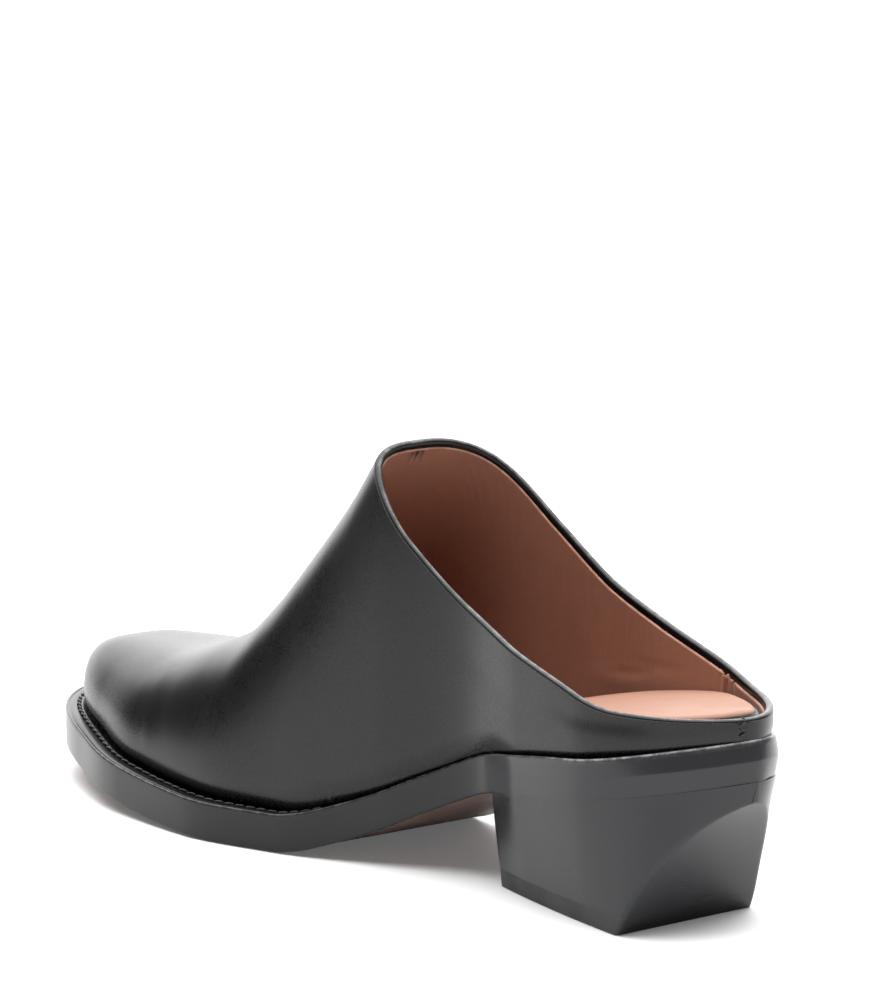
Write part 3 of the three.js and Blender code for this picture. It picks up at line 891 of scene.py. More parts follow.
@dataclass(frozen=True)
class TanFinish(Finish):
    """Tan leather without paint: lining, sock or sole."""

    wear: tuple[float, float] = (0.8, 300.0)
    roughness: tuple[float, float] = (0.5, 0.62)
    tone_scale: float = 18.0
    mottle: float = 0.3
    grain_scale: float = 1500.0
    grain_pores: float = 0.7
    grain_drift: float = 0.4
    grain_raised: tuple[float, float] = (0.6, 0.00005)
    wrinkle_pitch: float = 0.0
    wrinkle_span: tuple[float, float] = (0.0, 1.0)
    wrinkle_reach: float = 0.05
    # how much the wrinkles darken the colour, as painted shade, and the tone they darken to
    wrinkle_shade: float = 0.05
    wrinkle_dark: float = 0.45
    wrinkle_raised: tuple[float, float] = (0.25, 0.0001)
    specular: float = 0.4
    sheen: float = 0.08
    sheen_roughness: float = 0.5

    def material(self) -> bpy.types.Material:
        """Builds the material, with wrinkles if they have a pitch."""
        material, nodes, shader = new_material(self.name)
        grain = PebbleGrain().place(
            nodes, Scale=self.grain_scale, Pores=self.grain_pores, Drift=self.grain_drift
        )
        colour = self.paint_highlight_and_wear(nodes, self.tone(nodes).outputs["Colour"])
        layers = [(grain.outputs["Height"], *self.grain_raised)]
        if self.wrinkle_pitch:
            start, end = self.wrinkle_span
            wrinkles = RimWrinkles().place(
                nodes, Pitch=self.wrinkle_pitch, Reach=self.wrinkle_reach, From=start, To=end
            )
            # painted shade: the colour darkens in the wrinkles' troughs
            shade = nodes.math("MULTIPLY", wrinkles.outputs["Mask"], self.wrinkle_shade)
            dark = tuple(self.wrinkle_dark * c for c in self.second)
            colour = nodes.blend(shade, colour, opaque(dark))
            layers.insert(0, (wrinkles.outputs["Height"], *self.wrinkle_raised))
        rough = self.rough(nodes, grain.outputs["Mask"])
        shader.inputs["Specular IOR Level"].default_value = self.specular
        shader.inputs["Sheen Weight"].default_value = self.sheen
        shader.inputs["Sheen Roughness"].default_value = self.sheen_roughness
        self.dress(nodes, shader, colour, rough, layers)
        return material


@dataclass(frozen=True)
class RubberFinish(Finish):
    """Matt black rubber with a fine moulded texture."""

    name: str = "Matt rubber"
    first: Colour = (0.012, 0.012, 0.0125)
    second: Colour = (0.020, 0.020, 0.021)
    roughness: tuple[float, float] = (0.42, 0.55)
    tone_scale: float = 60.0
    mottle: float = 0.6
    grain_scale: float = 2600.0
    grain_pores: float = 0.9
    grain_drift: float = 0.2
    grain_raised: tuple[float, float] = (0.5, 0.00005)

    def material(self) -> bpy.types.Material:
        """Builds the material."""
        material, nodes, shader = new_material(self.name)
        grain = PebbleGrain().place(
            nodes, Scale=self.grain_scale, Pores=self.grain_pores, Drift=self.grain_drift
        )
        colour = self.tone(nodes).outputs["Colour"]
        rough = self.rough(nodes, grain.outputs["Mask"])
        self.dress(nodes, shader, colour, rough, [(grain.outputs["Height"], *self.grain_raised)])
        return material


@dataclass(frozen=True)
class ThreadFinish(Finish):
    """Waxed black thread, twisted."""

    name: str = "Waxed thread"
    first: Colour = (0.016, 0.016, 0.017)
    second: Colour = (0.035, 0.035, 0.035)
    roughness: tuple[float, float] = (0.28, 0.5)
    tone_scale: float = 160.0
    mottle: float = 0.6
    twist_scale: float = 620.0
    twist_unevenness: float = 2.0
    twist_raised: tuple[float, float] = (0.6, 0.00012)

    def material(self) -> bpy.types.Material:
        """Builds the material."""
        material, nodes, shader = new_material(self.name)
        wave = {"Vector": nodes.position(), "Scale": self.twist_scale, "Distortion": self.twist_unevenness}
        twist = nodes.add("TexWave", wave, bands_direction="DIAGONAL").outputs["Fac"]
        colour = self.tone(nodes).outputs["Colour"]
        rough = self.rough(nodes, twist)
        self.dress(nodes, shader, colour, rough, [(twist, *self.twist_raised)])
        return material


# ---- Upper and lining ----------------------------------------------------------------------------

@dataclass
class LastForm:
    """The hollow form of the upper, worked out up to a topline that lies a little under the cut one."""

    drop: float
    crevice: float = 1.7
    crevice_wall: float = 8.0
    seams: tuple[float, ...] = ()
    seam_reach: tuple[float, float] = (-3.4, 3.6)
    seam_stations: int = 24
    quarter_stations: int = 150
    vamp_stations: int = 120
    rows: int = 60
    row_power: float = 1.4
    waist: float = 0.31 * LENGTH
    back: float = UPPER_BACK
    front: float = UPPER_FRONT

    def topline(self, station: np.ndarray) -> np.ndarray:
        """Height of the topline above the floor."""
        return TOPLINE.read("height", station) * INSTEP_HEIGHT - self.drop

    def throat(self) -> float:
        """Station ahead of the waist at which the topline meets the ridge, found by halving."""
        low, high = self.waist, TOPLINE.at[-1] * LENGTH
        for _ in range(40):
            middle = (low + high) / 2
            ridge = float(SECTIONS.read("crown", middle)) * INSTEP_HEIGHT
            if float(self.topline(middle)) < ridge:
                low = middle
            else:
                high = middle
        return low

    def stations(self) -> np.ndarray:
        """Stations crowded at the back, at the seams, at the throat and at the tip of the toe."""
        throat = self.throat()
        turn = 0.5 * np.pi * np.arange(1, self.vamp_stations + 1) / self.vamp_stations
        vamp = throat + (self.front - throat) * np.sin(turn)
        quarter = [crowded(self.back, throat, self.quarter_stations)]
        back, front = self.seam_reach
        quarter += [np.linspace(seam + back, seam + front, self.seam_stations) for seam in self.seams]
        return np.concatenate([np.unique(np.concatenate(quarter)), vamp])

    def open_stations(self) -> int:
        """Number of steps from the back to the throat."""
        return self.quarter_stations + self.seam_stations * len(self.seams)

    def grid(self, side: Side) -> np.ndarray:
        """Points of one side, from the lower edge up to the topline or the ridge.

        Args:
            side: the side of the foot.

        Returns:
            Points of shape (stations, rows, 3), in millimetres.
        """
        station = self.stations()[:, None]
        sign = side.value
        name = side.name.lower()
        middle = WELT_LEDGE.read("middle", station)
        ledge = WELT_LEDGE.read("ledge", station)
        rounding = end_rounding(station, self.back, self.front)
        wall = (WALL_WIDTHS.read(name, station) * BALL_WIDTH - sign * middle) * rounding
        edge = (SOLE_WIDTHS.read(name, station) * BALL_WIDTH - sign * middle - ledge) * rounding
        bottom = underside(station) + UPPER_FOOT
        cap_start = self.front - TOE_CAP_ROUND[0]
        cap = rounded_end((station - cap_start) / TOE_CAP_ROUND[0], TOE_CAP_ROUND[1])
        rise = (SECTIONS.read("crown", station) * INSTEP_HEIGHT - bottom) * cap
        ridge = SECTIONS.read("ridge", station)
        flank = SECTIONS.read("flank", station)
        shoulder = SECTIONS.read("shoulder", station)
        is_open = np.arange(len(station))[:, None] < self.open_stations()
        share = np.clip((self.topline(station) - bottom) / np.maximum(rise, 1e-9), 0, 1)
        last_turn = np.where(is_open, np.arcsin(share ** (1 / shoulder)), np.pi / 2)
        level = 1 - (1 - np.linspace(0, 1, self.rows)[None, :]) ** self.row_power
        turn = last_turn * level
        closed_top = ~is_open & (level >= 1)
        lift = np.where(closed_top, rise, rise * np.sin(turn) ** shoulder)
        spread = np.where(closed_top, 0.0, np.clip(np.cos(turn), 0, 1) ** flank)
        tuck = (wall - edge) * np.maximum(0, 1 - lift / TUCK_HEIGHT) ** 2
        crevice = self.crevice * np.minimum(1, wall / self.crevice_wall)
        tuck = tuck + crevice * np.maximum(0, 1 - lift / CREVICE_HEIGHT) ** 2
        sideways = ridge * (1 - spread) + middle * spread + sign * spread * (wall - tuck)
        sideways = np.where(rise > 1e-9, sideways, middle)
        return np.stack(np.broadcast_arrays(station, sideways, bottom + lift), axis=-1)


@dataclass
class RimLoop:
    """Closed line of a topline, with the directions that a fold along it needs."""

    points: np.ndarray
    outward: np.ndarray
    upward: np.ndarray = field(init=False)
    along: np.ndarray = field(init=False)

    def __post_init__(self) -> None:
        """Works out the upward direction and the distance round the loop."""
        tangent = unit(np.roll(self.points, -1, axis=0) - np.roll(self.points, 1, axis=0))
        self.outward = unit(self.outward - (self.outward * tangent).sum(1, keepdims=True) * tangent)
        self.upward = unit(np.cross(tangent, self.outward))
        steps = np.linalg.norm(np.diff(self.points, axis=0), axis=1)
        self.along = np.concatenate([[0.0], np.cumsum(steps)])

    def sweep(self, profile: list[tuple[float, float]]) -> np.ndarray:
        """Carries a profile round the loop.

        Args:
            profile: distances outward and upward, in millimetres.

        Returns:
            Points of shape (loop + 1, profile, 3), closed.
        """
        out, up = np.array(profile).T
        swept = (
            self.points[:, None]
            + out[None, :, None] * self.outward[:, None]
            + up[None, :, None] * self.upward[:, None]
        )
        return closed(swept)


@dataclass
class UpperShell:
    """One skin of the upper with the loop of its topline."""

    form: LastForm
    skin: Skin = field(default_factory=Skin)
    foot_gap: float = 0.3
    vamp_pace: float = 0.6

    def lay(self, inward: float = 0.0, flip: bool = False) -> RimLoop:
        """Lays both sides of the skin, moved into the shoe, and finds its topline.

        Args:
            inward: distance that the skin lies inside the outer form.
            flip: turns the faces to the inside.

        Returns:
            The topline, on the outer form.
        """
        outer = Skin()
        grids = {side: self.form.grid(side) for side in Side}
        numbers = {side: outer.add(grids[side], flip=side is Side.LATERAL) for side in Side}
        outer.weld()
        normals = outer.normals()
        loop = self._loop({side: outer.index[numbers[side]] for side in Side})
        rim = RimLoop(outer.points[loop], normals[loop])
        for side in Side:
            index = outer.index[numbers[side]]
            grid = outer.points[index] - inward * normals[index]
            if inward:
                grid[..., 2] = np.maximum(grid[..., 2], grids[side][:, :1, 2] + self.foot_gap)
            marks = self._marks(grids[side], side, rim)
            self.skin.add(grid, flip=(side is Side.LATERAL) != flip, marks=marks)
        return rim

    def _loop(self, index: dict[Side, np.ndarray]) -> np.ndarray:
        """Numbers of the topline's points: up the lateral side, over the throat, down the medial."""
        last = self.form.open_stations()
        return np.concatenate([index[Side.LATERAL][: last + 1, -1], index[Side.MEDIAL][1:last, -1][::-1]])

    def _marks(self, grid: np.ndarray, side: Side, rim: RimLoop) -> dict[Mark, np.ndarray]:
        """Distance round the topline and below it, in metres, for every point of one side.

        Past the throat the distance round the topline goes on along the ridge, at the vamp's pace.
        """
        steps = np.linalg.norm(np.diff(grid, axis=1), axis=2)
        below = np.cumsum(steps[:, ::-1], axis=1)[:, ::-1]
        below = np.concatenate([below, np.zeros((len(grid), 1))], axis=1)
        last = self.form.open_stations()
        column = rim.along[: last + 1]
        if side is Side.MEDIAL:
            column = rim.along[-1] - column
        vamp = column[-1] + self.vamp_pace * (grid[last + 1 :, 0, 0] - grid[last, 0, 0])
        along = np.concatenate([column, vamp])
        return {Mark.BELOW: below * MM, Mark.ALONG: along[:, None] * MM}


@dataclass
class Upper:
    """The wholecut upper of black calf, with its folded topline and back seam."""

    fold_drop: float = 0.9
    fold_width: float = 2.1
    fold_steps: int = 10
    fold_highlight_power: float = 8.0
    band_depths: tuple[float, ...] = (0.4, 0.9, 1.5, 2.3, 3.4)
    stitch_back: tuple[float, float] = (-48.55, 3.1)
    stitch_heights: tuple[float, ...] = (53.6, 52.2, 50.8, 49.6)
    stitch_across: tuple[float, float] = (0.28, 0.95)
    stitch_slant: float = 0.5
    stitch_out: Point = (-0.96, 0.28, 0.0)
    stitch_size: tuple[float, float, float] = (1.7, 0.2, 0.12)
    creases: tuple[Crease, ...] = (
        # toe corner, where the puff ends
        Crease((150.4, 26.4, 36.0), (145.9, 35.5, 18.4), 0.16, 2.0),
        Crease((143.9, 28.9, 36.0), (140.4, 36.4, 22.0), -0.10, 2.4),
        # small broken wrinkle on the shoulder of the vamp
        Crease((162.9, 18.4, 37.9), (152.9, 22.4, 38.2), -0.14, 0.42, 0.4),
        Crease((154.9, 21.4, 38.3), (144.9, 25.4, 38.6), -0.10, 0.38, 0.4),
        Crease((150.9, 19.9, 39.4), (147.9, 25.9, 37.4), -0.07, 0.40, 0.4),
        # soft folds that fan out over the joint of the toes
        Crease((140.9, -3.6, 45.6), (128.9, 29.4, 38.0), -0.07, 2.6, 0.3),
        Crease((133.9, -1.6, 49.0), (119.9, 29.9, 42.0), -0.07, 2.4, 0.3),
        Crease((126.9, 0.4, 53.5), (110.9, 29.4, 47.5), -0.07, 2.8, 0.3),
        Crease((141.9, -3.6, 45.0), (135.9, -30.6, 34.0), -0.07, 2.6, 0.3),
        Crease((133.9, -1.6, 49.0), (125.9, -28.6, 40.0), -0.07, 2.6, 0.3),
        Crease((125.9, -1.6, 54.0), (114.9, -26.6, 47.0), -0.07, 2.8, 0.3),
        # quarter: hollow under the rim and the swell beneath it
        Crease((-6.1, 28.0, 52.0), (-34.1, 20.9, 52.2), -0.22, 2.2),
        Crease((-10.1, 27.4, 47.0), (-33.1, 21.4, 47.8), 0.30, 2.8),
        Crease((31.9, 20.9, 58.0), (9.9, 25.9, 50.5), -0.16, 4.0),
        Crease((31.9, -30.6, 58.0), (5.9, -29.1, 50.0), -0.18, 4.0),
        # back seam
        Crease((-48.7, 3.1, 56.5), (-48.7, 3.1, 46.5), -0.42, 0.75, 0.6),
    )

    def build(self, leather: bpy.types.Material, thread: bpy.types.Material) -> None:
        """Builds the outer skin, the fold and the back seam's stitches.

        Args:
            leather: material of the upper.
            thread: material of the stitches.
        """
        shell = UpperShell(LastForm(self.fold_drop))
        rim = shell.lay()
        half = self.fold_width / 2
        turn = np.linspace(0, np.pi, self.fold_steps + 1)
        fold = [(-half * (1 - math.cos(a)), self.fold_drop * math.sin(a)) for a in turn]
        inner = [(-self.fold_width, -depth) for depth in self.band_depths]
        # the fold's crest gets a thin painted highlight line in the calf's lighter grey
        wear = np.concatenate([np.sin(turn) ** self.fold_highlight_power, np.zeros(len(inner))])
        skin = shell.skin
        skin.add(rim.sweep(fold + inner), marks={Mark.WEAR: wear[None, :]})
        skin.weld()
        skin.press(self.creases)
        upper = skin.make("upper_leather", [leather], "upper_leather")
        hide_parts("upper")
        self._back_stitches(thread)

    def _back_stitches(self, thread: bpy.types.Material) -> None:
        """Small cross stitches that close the back seam, slanted by turns."""
        count = len(self.stitch_heights)
        centres = np.array([[*self.stitch_back, h] for h in self.stitch_heights]) + np.array(ORIGIN)
        slants = [self.stitch_slant * (-1) ** i for i in range(count)]
        directions = np.array([[*self.stitch_across, slant] for slant in slants])
        ups = np.tile(self.stitch_out, (count, 1))
        thread_run(
            "back_seam_stitches", centres, directions, ups, *self.stitch_size, thread, "upper_leather"
        )


@dataclass
class Lining:
    """Tan lining inside the upper, with its rolled edge under the topline."""

    form: LastForm = field(
        default_factory=lambda: LastForm(
            2.5, crevice=0.0, seams=(37.0,), quarter_stations=140, vamp_stations=70, rows=56
        )
    )
    depth: float = 2.5
    roll: float = 0.36
    roll_height: float = 1.2
    roll_highlight: tuple[float, float] = (0.8, 0.5)
    creases: tuple[Crease, ...] = (
        # seams behind the waist, one on each side, with the pucker beside them
        Crease((-14.5, -24.5, 60.0), (-12.9, -24.8, 42.0), -0.75, 0.55),
        Crease((-13.4, -24.6, 60.0), (-11.8, -24.9, 42.0), 0.55, 0.65),
        Crease((-15.6, -24.4, 60.0), (-14.0, -24.7, 42.0), 0.35, 0.60),
        Crease((-11.5, -24.8, 60.0), (-10.7, -25.1, 50.0), -0.22, 0.6),
        Crease((-13.5, 24.4, 60.0), (-12.1, 24.8, 42.0), -0.45, 0.7),
        # slack lining over the footbed
        Crease((35.9, -30.1, 47.0), (13.9, -29.1, 51.0), -0.25, 1.5, 0.4),
        Crease((27.9, -29.6, 51.5), (3.9, -27.6, 53.0), -0.18, 1.8, 0.4),
        Crease((43.9, -31.1, 46.0), (25.9, -30.1, 46.5), 0.25, 2.0),
        # drawn folds under the throat
        Crease((71.9, -19.6, 97.0), (81.9, -23.6, 78.0), 0.20, 2.2, 0.3),
        Crease((65.9, -23.6, 90.0), (77.9, -26.1, 70.0), -0.20, 2.4, 0.3),
        Crease((59.9, -26.1, 82.0), (73.9, -28.6, 62.0), 0.20, 2.6, 0.3),
    )

    def build(self, leather: bpy.types.Material) -> None:
        """Builds the lining."""
        shell = UpperShell(self.form)
        rim = shell.lay(inward=self.depth, flip=True)
        turn = np.linspace(0, np.pi, 8)
        high = self.roll_height * self.roll
        roll = [(-self.depth + self.roll * (1 - math.cos(a)), high * math.sin(a)) for a in turn]
        # the crest of the roll gets a painted highlight in the lining's lighter tan
        most, power = self.roll_highlight
        wear = most * np.sin(turn) ** power
        skin = shell.skin
        skin.add(rim.sweep(roll), flip=True, marks={Mark.WEAR: wear[None, :]})
        skin.weld()
        skin.press(self.creases)
        skin.make("lining", [leather], "insole_leather")


# ---- Footbed -------------------------------------------------------------------------------------


@dataclass
class Footbed:
    """Padded footbed: tan sock over foam, with black sides, and a rounded end short of the back."""

    back: float = UPPER_BACK + 3.4
    front: float = UPPER_FRONT - 2.4
    side_gap: float = 2.5
    inner_gap: float = 4.0
    inner_gap_span: tuple[float, float] = (42.0, 17.0)
    padding: float = 0.2
    crown: float = 0.5
    crown_width: float = 30.0
    crown_power: float = 0.8
    edge_round: float = 1.3
    edge_steps: int = 5
    edge_lightening: tuple[float, ...] = (0.9, 0.6, 0.25)
    flare: float = 3.2
    flare_span: tuple[float, float] = (36.0, 18.0)
    flare_side: tuple[float, float] = (4.0, -5.0)
    least_flare: float = 0.2
    side_rows: tuple[tuple[float, float], ...] = ((1.0, 0.0), (0.8, 0.25), (0.42, 0.62), (0.1, 0.88))
    stations: int = 150

    def build(self, sock: bpy.types.Material, sides: bpy.types.Material) -> None:
        """Builds the footbed.

        Args:
            sock: material of the top.
            sides: material of the side band.
        """
        station = crowded(self.back, self.front, self.stations)
        lateral, medial = self._edges(station)
        loop = there_and_back(np.stack([station, lateral], 1), np.stack([station, medial], 1))
        base = underside(station) + FOOTBED_FOOT
        thick = FOOTBED_THICKNESS.read("thick", station) + self.padding
        floor, deep = there_and_back(base, base), there_and_back(thick, thick)
        outward = plan_outward(loop)
        inner = ease(loop[:, 1], *self.flare_side)
        flare = self.flare * ease(loop[:, 0], *self.flare_span) * inner + self.least_flare
        rings = [
            self._ring(loop, outward, out * flare, floor + share * deep) for out, share in self.side_rows
        ]
        for a in np.linspace(0, 0.5 * np.pi, self.edge_steps + 1):
            out = np.full(len(loop), -self.edge_round * (1 - math.cos(a)))
            height = floor + deep - self.edge_round * (1 - math.sin(a))
            rings.append(self._ring(loop, outward, out, height))
        grid = closed(np.stack(rings, axis=1))
        seam = len(self.side_rows) + 1
        # the outer rows of the top's rounded edge take the sock's lighter tan
        wear = np.zeros(grid.shape[1] - seam)
        wear[: len(self.edge_lightening)] = self.edge_lightening
        skin = Skin()
        skin.add(grid[:, : seam + 1], zone=1)
        skin.add(grid[:, seam:], marks={Mark.WEAR: wear[None, :]})
        self._face(skin, rings[-1], self.crown, 0, False)
        self._face(skin, rings[0], 0.0, 1, True)
        skin.weld()
        footbed = skin.make("footbed", [sock, sides], "insole_leather")
        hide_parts("insole")

    def _edges(self, station: np.ndarray) -> tuple[np.ndarray, np.ndarray]:
        """Sideways places of the lateral and medial edges, drawn in more at the inner back."""
        rounding = end_rounding(station, self.back, self.front)
        middle = WELT_LEDGE.read("middle", station)
        outer = WELT_LEDGE.read("ledge", station) + self.side_gap
        inner = outer + self.inner_gap * ease(station, *self.inner_gap_span)
        lateral = SOLE_WIDTHS.read("lateral", station) * BALL_WIDTH - middle - outer
        medial = SOLE_WIDTHS.read("medial", station) * BALL_WIDTH + middle - inner
        return middle + lateral * rounding, middle - medial * rounding

    def _ring(
        self, loop: np.ndarray, outward: np.ndarray, out: np.ndarray, height: np.ndarray
    ) -> np.ndarray:
        """The outline moved outward and set at heights."""
        return np.column_stack([loop + out[:, None] * outward, height])

    def _face(self, skin: Skin, ring: np.ndarray, crown: float, zone: int, flip: bool) -> None:
        """Closes a ring with strips across the shoe, crowned in the middle."""
        strips = across(ring, self.stations + 1, 25)
        share = np.linspace(0, 1, strips.shape[1])[None, :]
        width = np.abs(strips[:, 0, 1] - strips[:, -1, 1])[:, None]
        arched = (1 - (2 * share - 1) ** 2) ** self.crown_power
        strips[..., 2] += crown * np.minimum(1, width / self.crown_width) * arched
        skin.add(strips, zone=zone, flip=flip)


# ---- Sole ----------------------------------------------------------------------------------------


@dataclass
class SoleOutline:
    """The sole's outline as one closed loop, with plan normals, for layers to be swept round it."""

    count: int = 260
    station: np.ndarray = field(init=False)
    plan: np.ndarray = field(init=False)
    outward: np.ndarray = field(init=False)

    def __post_init__(self) -> None:
        """Works out the loop: forward on the lateral side and back on the medial one."""
        stations = crowded(0.0, LENGTH, self.count)
        lateral, medial = sole_edges(stations)
        self.plan = there_and_back(np.stack([stations, lateral], 1), np.stack([stations, medial], 1))
        self.station = self.plan[:, 0].copy()
        self.outward = plan_outward(self.plan)

    def ring(self, inset: np.ndarray | float, height: np.ndarray | float) -> np.ndarray:
        """A ring moved in by an inset, at a height above the underside.

        Args:
            inset: distance in from the outline, one value or one for each point.
            height: height above the underside, one value or one for each point.

        Returns:
            Points of shape (loop, 3).
        """
        height = np.broadcast_to(height, self.station.shape)
        rear = ease(self.station, *SEAT_SPAN) * ease(self.plan[:, 1], *SEAT_SIDE)
        outer = ease(self.station, *OUTER_SPAN) * ease(self.plan[:, 1], *OUTER_SIDE)
        lower = (1 - np.clip(height / WELT_TOP, 0, 1)) ** INSET_POWER
        taper = (SEAT_INSET * rear + OUTER_INSET * outer) * lower
        inset = np.broadcast_to(inset, self.station.shape) + taper
        plan = self.plan - inset[:, None] * self.outward
        level = underside(self.station) + height
        return np.column_stack([plan, level])

    def close(self, skin: Skin, ring: np.ndarray, zone: int, flip: bool, rows: int = 9) -> None:
        """Closes a ring with strips across the shoe.

        Args:
            skin: mesh that the strips join.
            ring: the ring's points.
            zone: material zone of the strips.
            flip: turns the faces over.
            rows: points across each strip.
        """
        skin.add(across(ring, self.count + 1, rows), zone=zone, flip=flip)


@dataclass
class Welt:
    """Welt and rand: painted edge, bead, ledge with a sunk channel and its lockstitches."""

    outline: SoleOutline
    band_lean: float = 1.15
    lean_span: tuple[float, float] = (31.0, 9.0)
    wide_ledge: tuple[float, float] = (1.6, 3.4)
    channel_at: float = 0.66
    channel_start: float = 0.3
    highlight_least: float = 0.25
    highlight_span: tuple[float, float] = (52.0, 34.0)
    pitch: float = 3.6
    stitch_size: tuple[float, float, float] = (3.0, 0.36, 0.16)
    stitch_slant: float = 0.30
    stitch_ledge: float = 2.7
    stitch_sink: float = 0.08

    def build(self, paint: bpy.types.Material, thread: bpy.types.Material) -> None:
        """Builds the welt and its stitches.

        Args:
            paint: material of the edge and the ledge.
            thread: material of the stitches.
        """
        station = self.outline.station
        ledge = WELT_LEDGE.read("ledge", station)
        lean = self.band_lean * ease(station, *self.lean_span)
        profile = self._profile(ledge, lean)
        rings = [self.outline.ring(inset, height) for inset, height, _ in profile]
        # the bead's rows get a painted highlight in light grey, full at the back and a quarter as strong
        # ahead of the heel
        wear = np.array([row[2] for row in profile])
        fade = ease(np.append(station, station[:1]), *self.highlight_span)
        rear = self.highlight_least + (1 - self.highlight_least) * fade
        skin = Skin()
        skin.add(closed(np.stack(rings, axis=1)), marks={Mark.WEAR: rear[:, None] * wear[None, :]})
        self.outline.close(skin, rings[-1], 0, False)
        self.outline.close(skin, rings[0], 0, True)
        skin.weld()
        welt = skin.make("welt_and_rand", [paint], "welt_leather")
        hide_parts("welt")
        self._lockstitches(thread, ledge, lean)

    def _profile(
        self, ledge: np.ndarray, lean: np.ndarray
    ) -> list[tuple[np.ndarray | float, np.ndarray | float, float]]:
        """Section from the foot of the edge, over the bead and the channel, to under the upper.

        Args:
            ledge: width of the ledge round the outline.
            lean: how far the edge leans in at its top.

        Returns:
            For each ring its inset, its height above the underside and how strongly the painted highlight
            lies on it.
        """
        wide = ease(ledge, *self.wide_ledge)
        low, high = OUTSOLE_TOP, WELT_TOP
        edge = [
            (0.0, low, 0.0),
            (0.0, low + 0.02, 0.0),
            (0.10 * lean, low + 0.5, 0.0),
            (0.40 * lean, low + 2.0, 0.0),
            (0.72 * lean, low + 3.4, 0.0),
            (0.92 * lean, high - 0.55, 0.1),
        ]
        bead = [
            # the bead's top carries the painted highlight
            (lean + 0.06, high - 0.22, 1.0),
            (lean + 0.22, high - 0.04, 1.0),
            (lean + 0.24 + 0.05 * ledge, high + 0.05 * wide, 0.9),
            (lean + 0.26 + 0.10 * ledge, high - 0.02 * wide, 0.0),
            (lean + 0.27 + 0.145 * ledge, high - 0.30 * wide, 0.0),
            (lean + 0.28 + 0.19 * ledge, high - 0.12 * wide, 0.0),
            (lean + 0.29 + 0.26 * ledge, high - 0.03 * wide, 0.2),
        ]
        sunk = ((-0.16, 0.0), (-0.10, 0.12), (-0.04, 0.30), (0.04, 0.30), (0.10, 0.12), (0.16, 0.02))
        channel = [
            (lean + self.channel_start + (self.channel_at + share) * ledge, high - depth * wide, 0.0)
            for share, depth in sunk
        ]
        hidden = [
            (lean * 0.6 + 0.35 + 0.88 * ledge, high - 0.12 - 0.1 * wide, 0.0),
            (lean * 0.4 + 0.6 + ledge, high - 0.75, 0.0),
            (1.6 + ledge, high - 1.15, 0.0),
            (3.4 + ledge, high - 1.1, 0.0),
        ]
        return edge + bead + channel + hidden

    def _lockstitches(self, thread: bpy.types.Material, ledge: np.ndarray, lean: np.ndarray) -> None:
        """Stitches laid along the channel, wherever the ledge is wide enough."""
        inset = lean + self.channel_start + self.channel_at * ledge
        path = self.outline.ring(inset, WELT_TOP - self.stitch_sink)
        steps = np.linalg.norm(np.diff(path, axis=0), axis=1)
        run = np.concatenate([[0.0], np.cumsum(steps)])
        places = np.arange(0.0, run[-1], self.pitch)
        places = places[np.interp(places, run, ledge) > self.stitch_ledge]
        centres = np.column_stack([np.interp(places, run, path[:, k]) for k in range(3)])
        ahead = np.column_stack([np.interp(places + 0.5, run, path[:, k]) for k in range(3)])
        forward = unit(ahead - centres)
        up = np.tile([0.0, 0.0, 1.0], (len(places), 1))
        slanted = forward + self.stitch_slant * np.cross(up, forward)
        thread_run("welt_lockstitches", centres, slanted, up, *self.stitch_size, thread, "welt_leather")


@dataclass
class Outsole:
    """Leather outsole: black painted edge and rim, tan underneath."""

    outline: SoleOutline
    rim: float = 0.9
    soft_span: tuple[float, float] = (72.0, 82.0)

    def build(self, paint: bpy.types.Material, leather: bpy.types.Material) -> None:
        """Builds the outsole.

        Args:
            paint: material of the edge.
            leather: material of the underside.
        """
        soft = ease(self.outline.station, *self.soft_span)
        groove = [(4.6, 0.0), (4.2, 0.06), (3.8, 0.06), (3.4, 0.0)]
        edge = [
            (self.rim, 0.0),
            (0.45 * soft, 0.02 * soft),
            (0.18 * soft, 0.12 * soft),
            (0.05 * soft, 0.30 * soft + 0.01),
            (0.0, 0.7),
            (0.0, 2.6),
            (0.0, OUTSOLE_TOP - 0.35),
            (0.0, OUTSOLE_TOP - 0.02),
            (0.0, OUTSOLE_TOP),
        ]
        rings = [self.outline.ring(inset, height) for inset, height in groove + edge]
        grid = closed(np.stack(rings, axis=1))
        skin = Skin()
        skin.add(grid[:, : len(groove) + 1], zone=1)
        skin.add(grid[:, len(groove) :])
        self.outline.close(skin, rings[0], 1, True, 21)
        self.outline.close(skin, rings[-1], 0, False)
        skin.weld()
        outsole = skin.make("outsole_leather", [paint, leather], "outsole_leather")
        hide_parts("outsole")


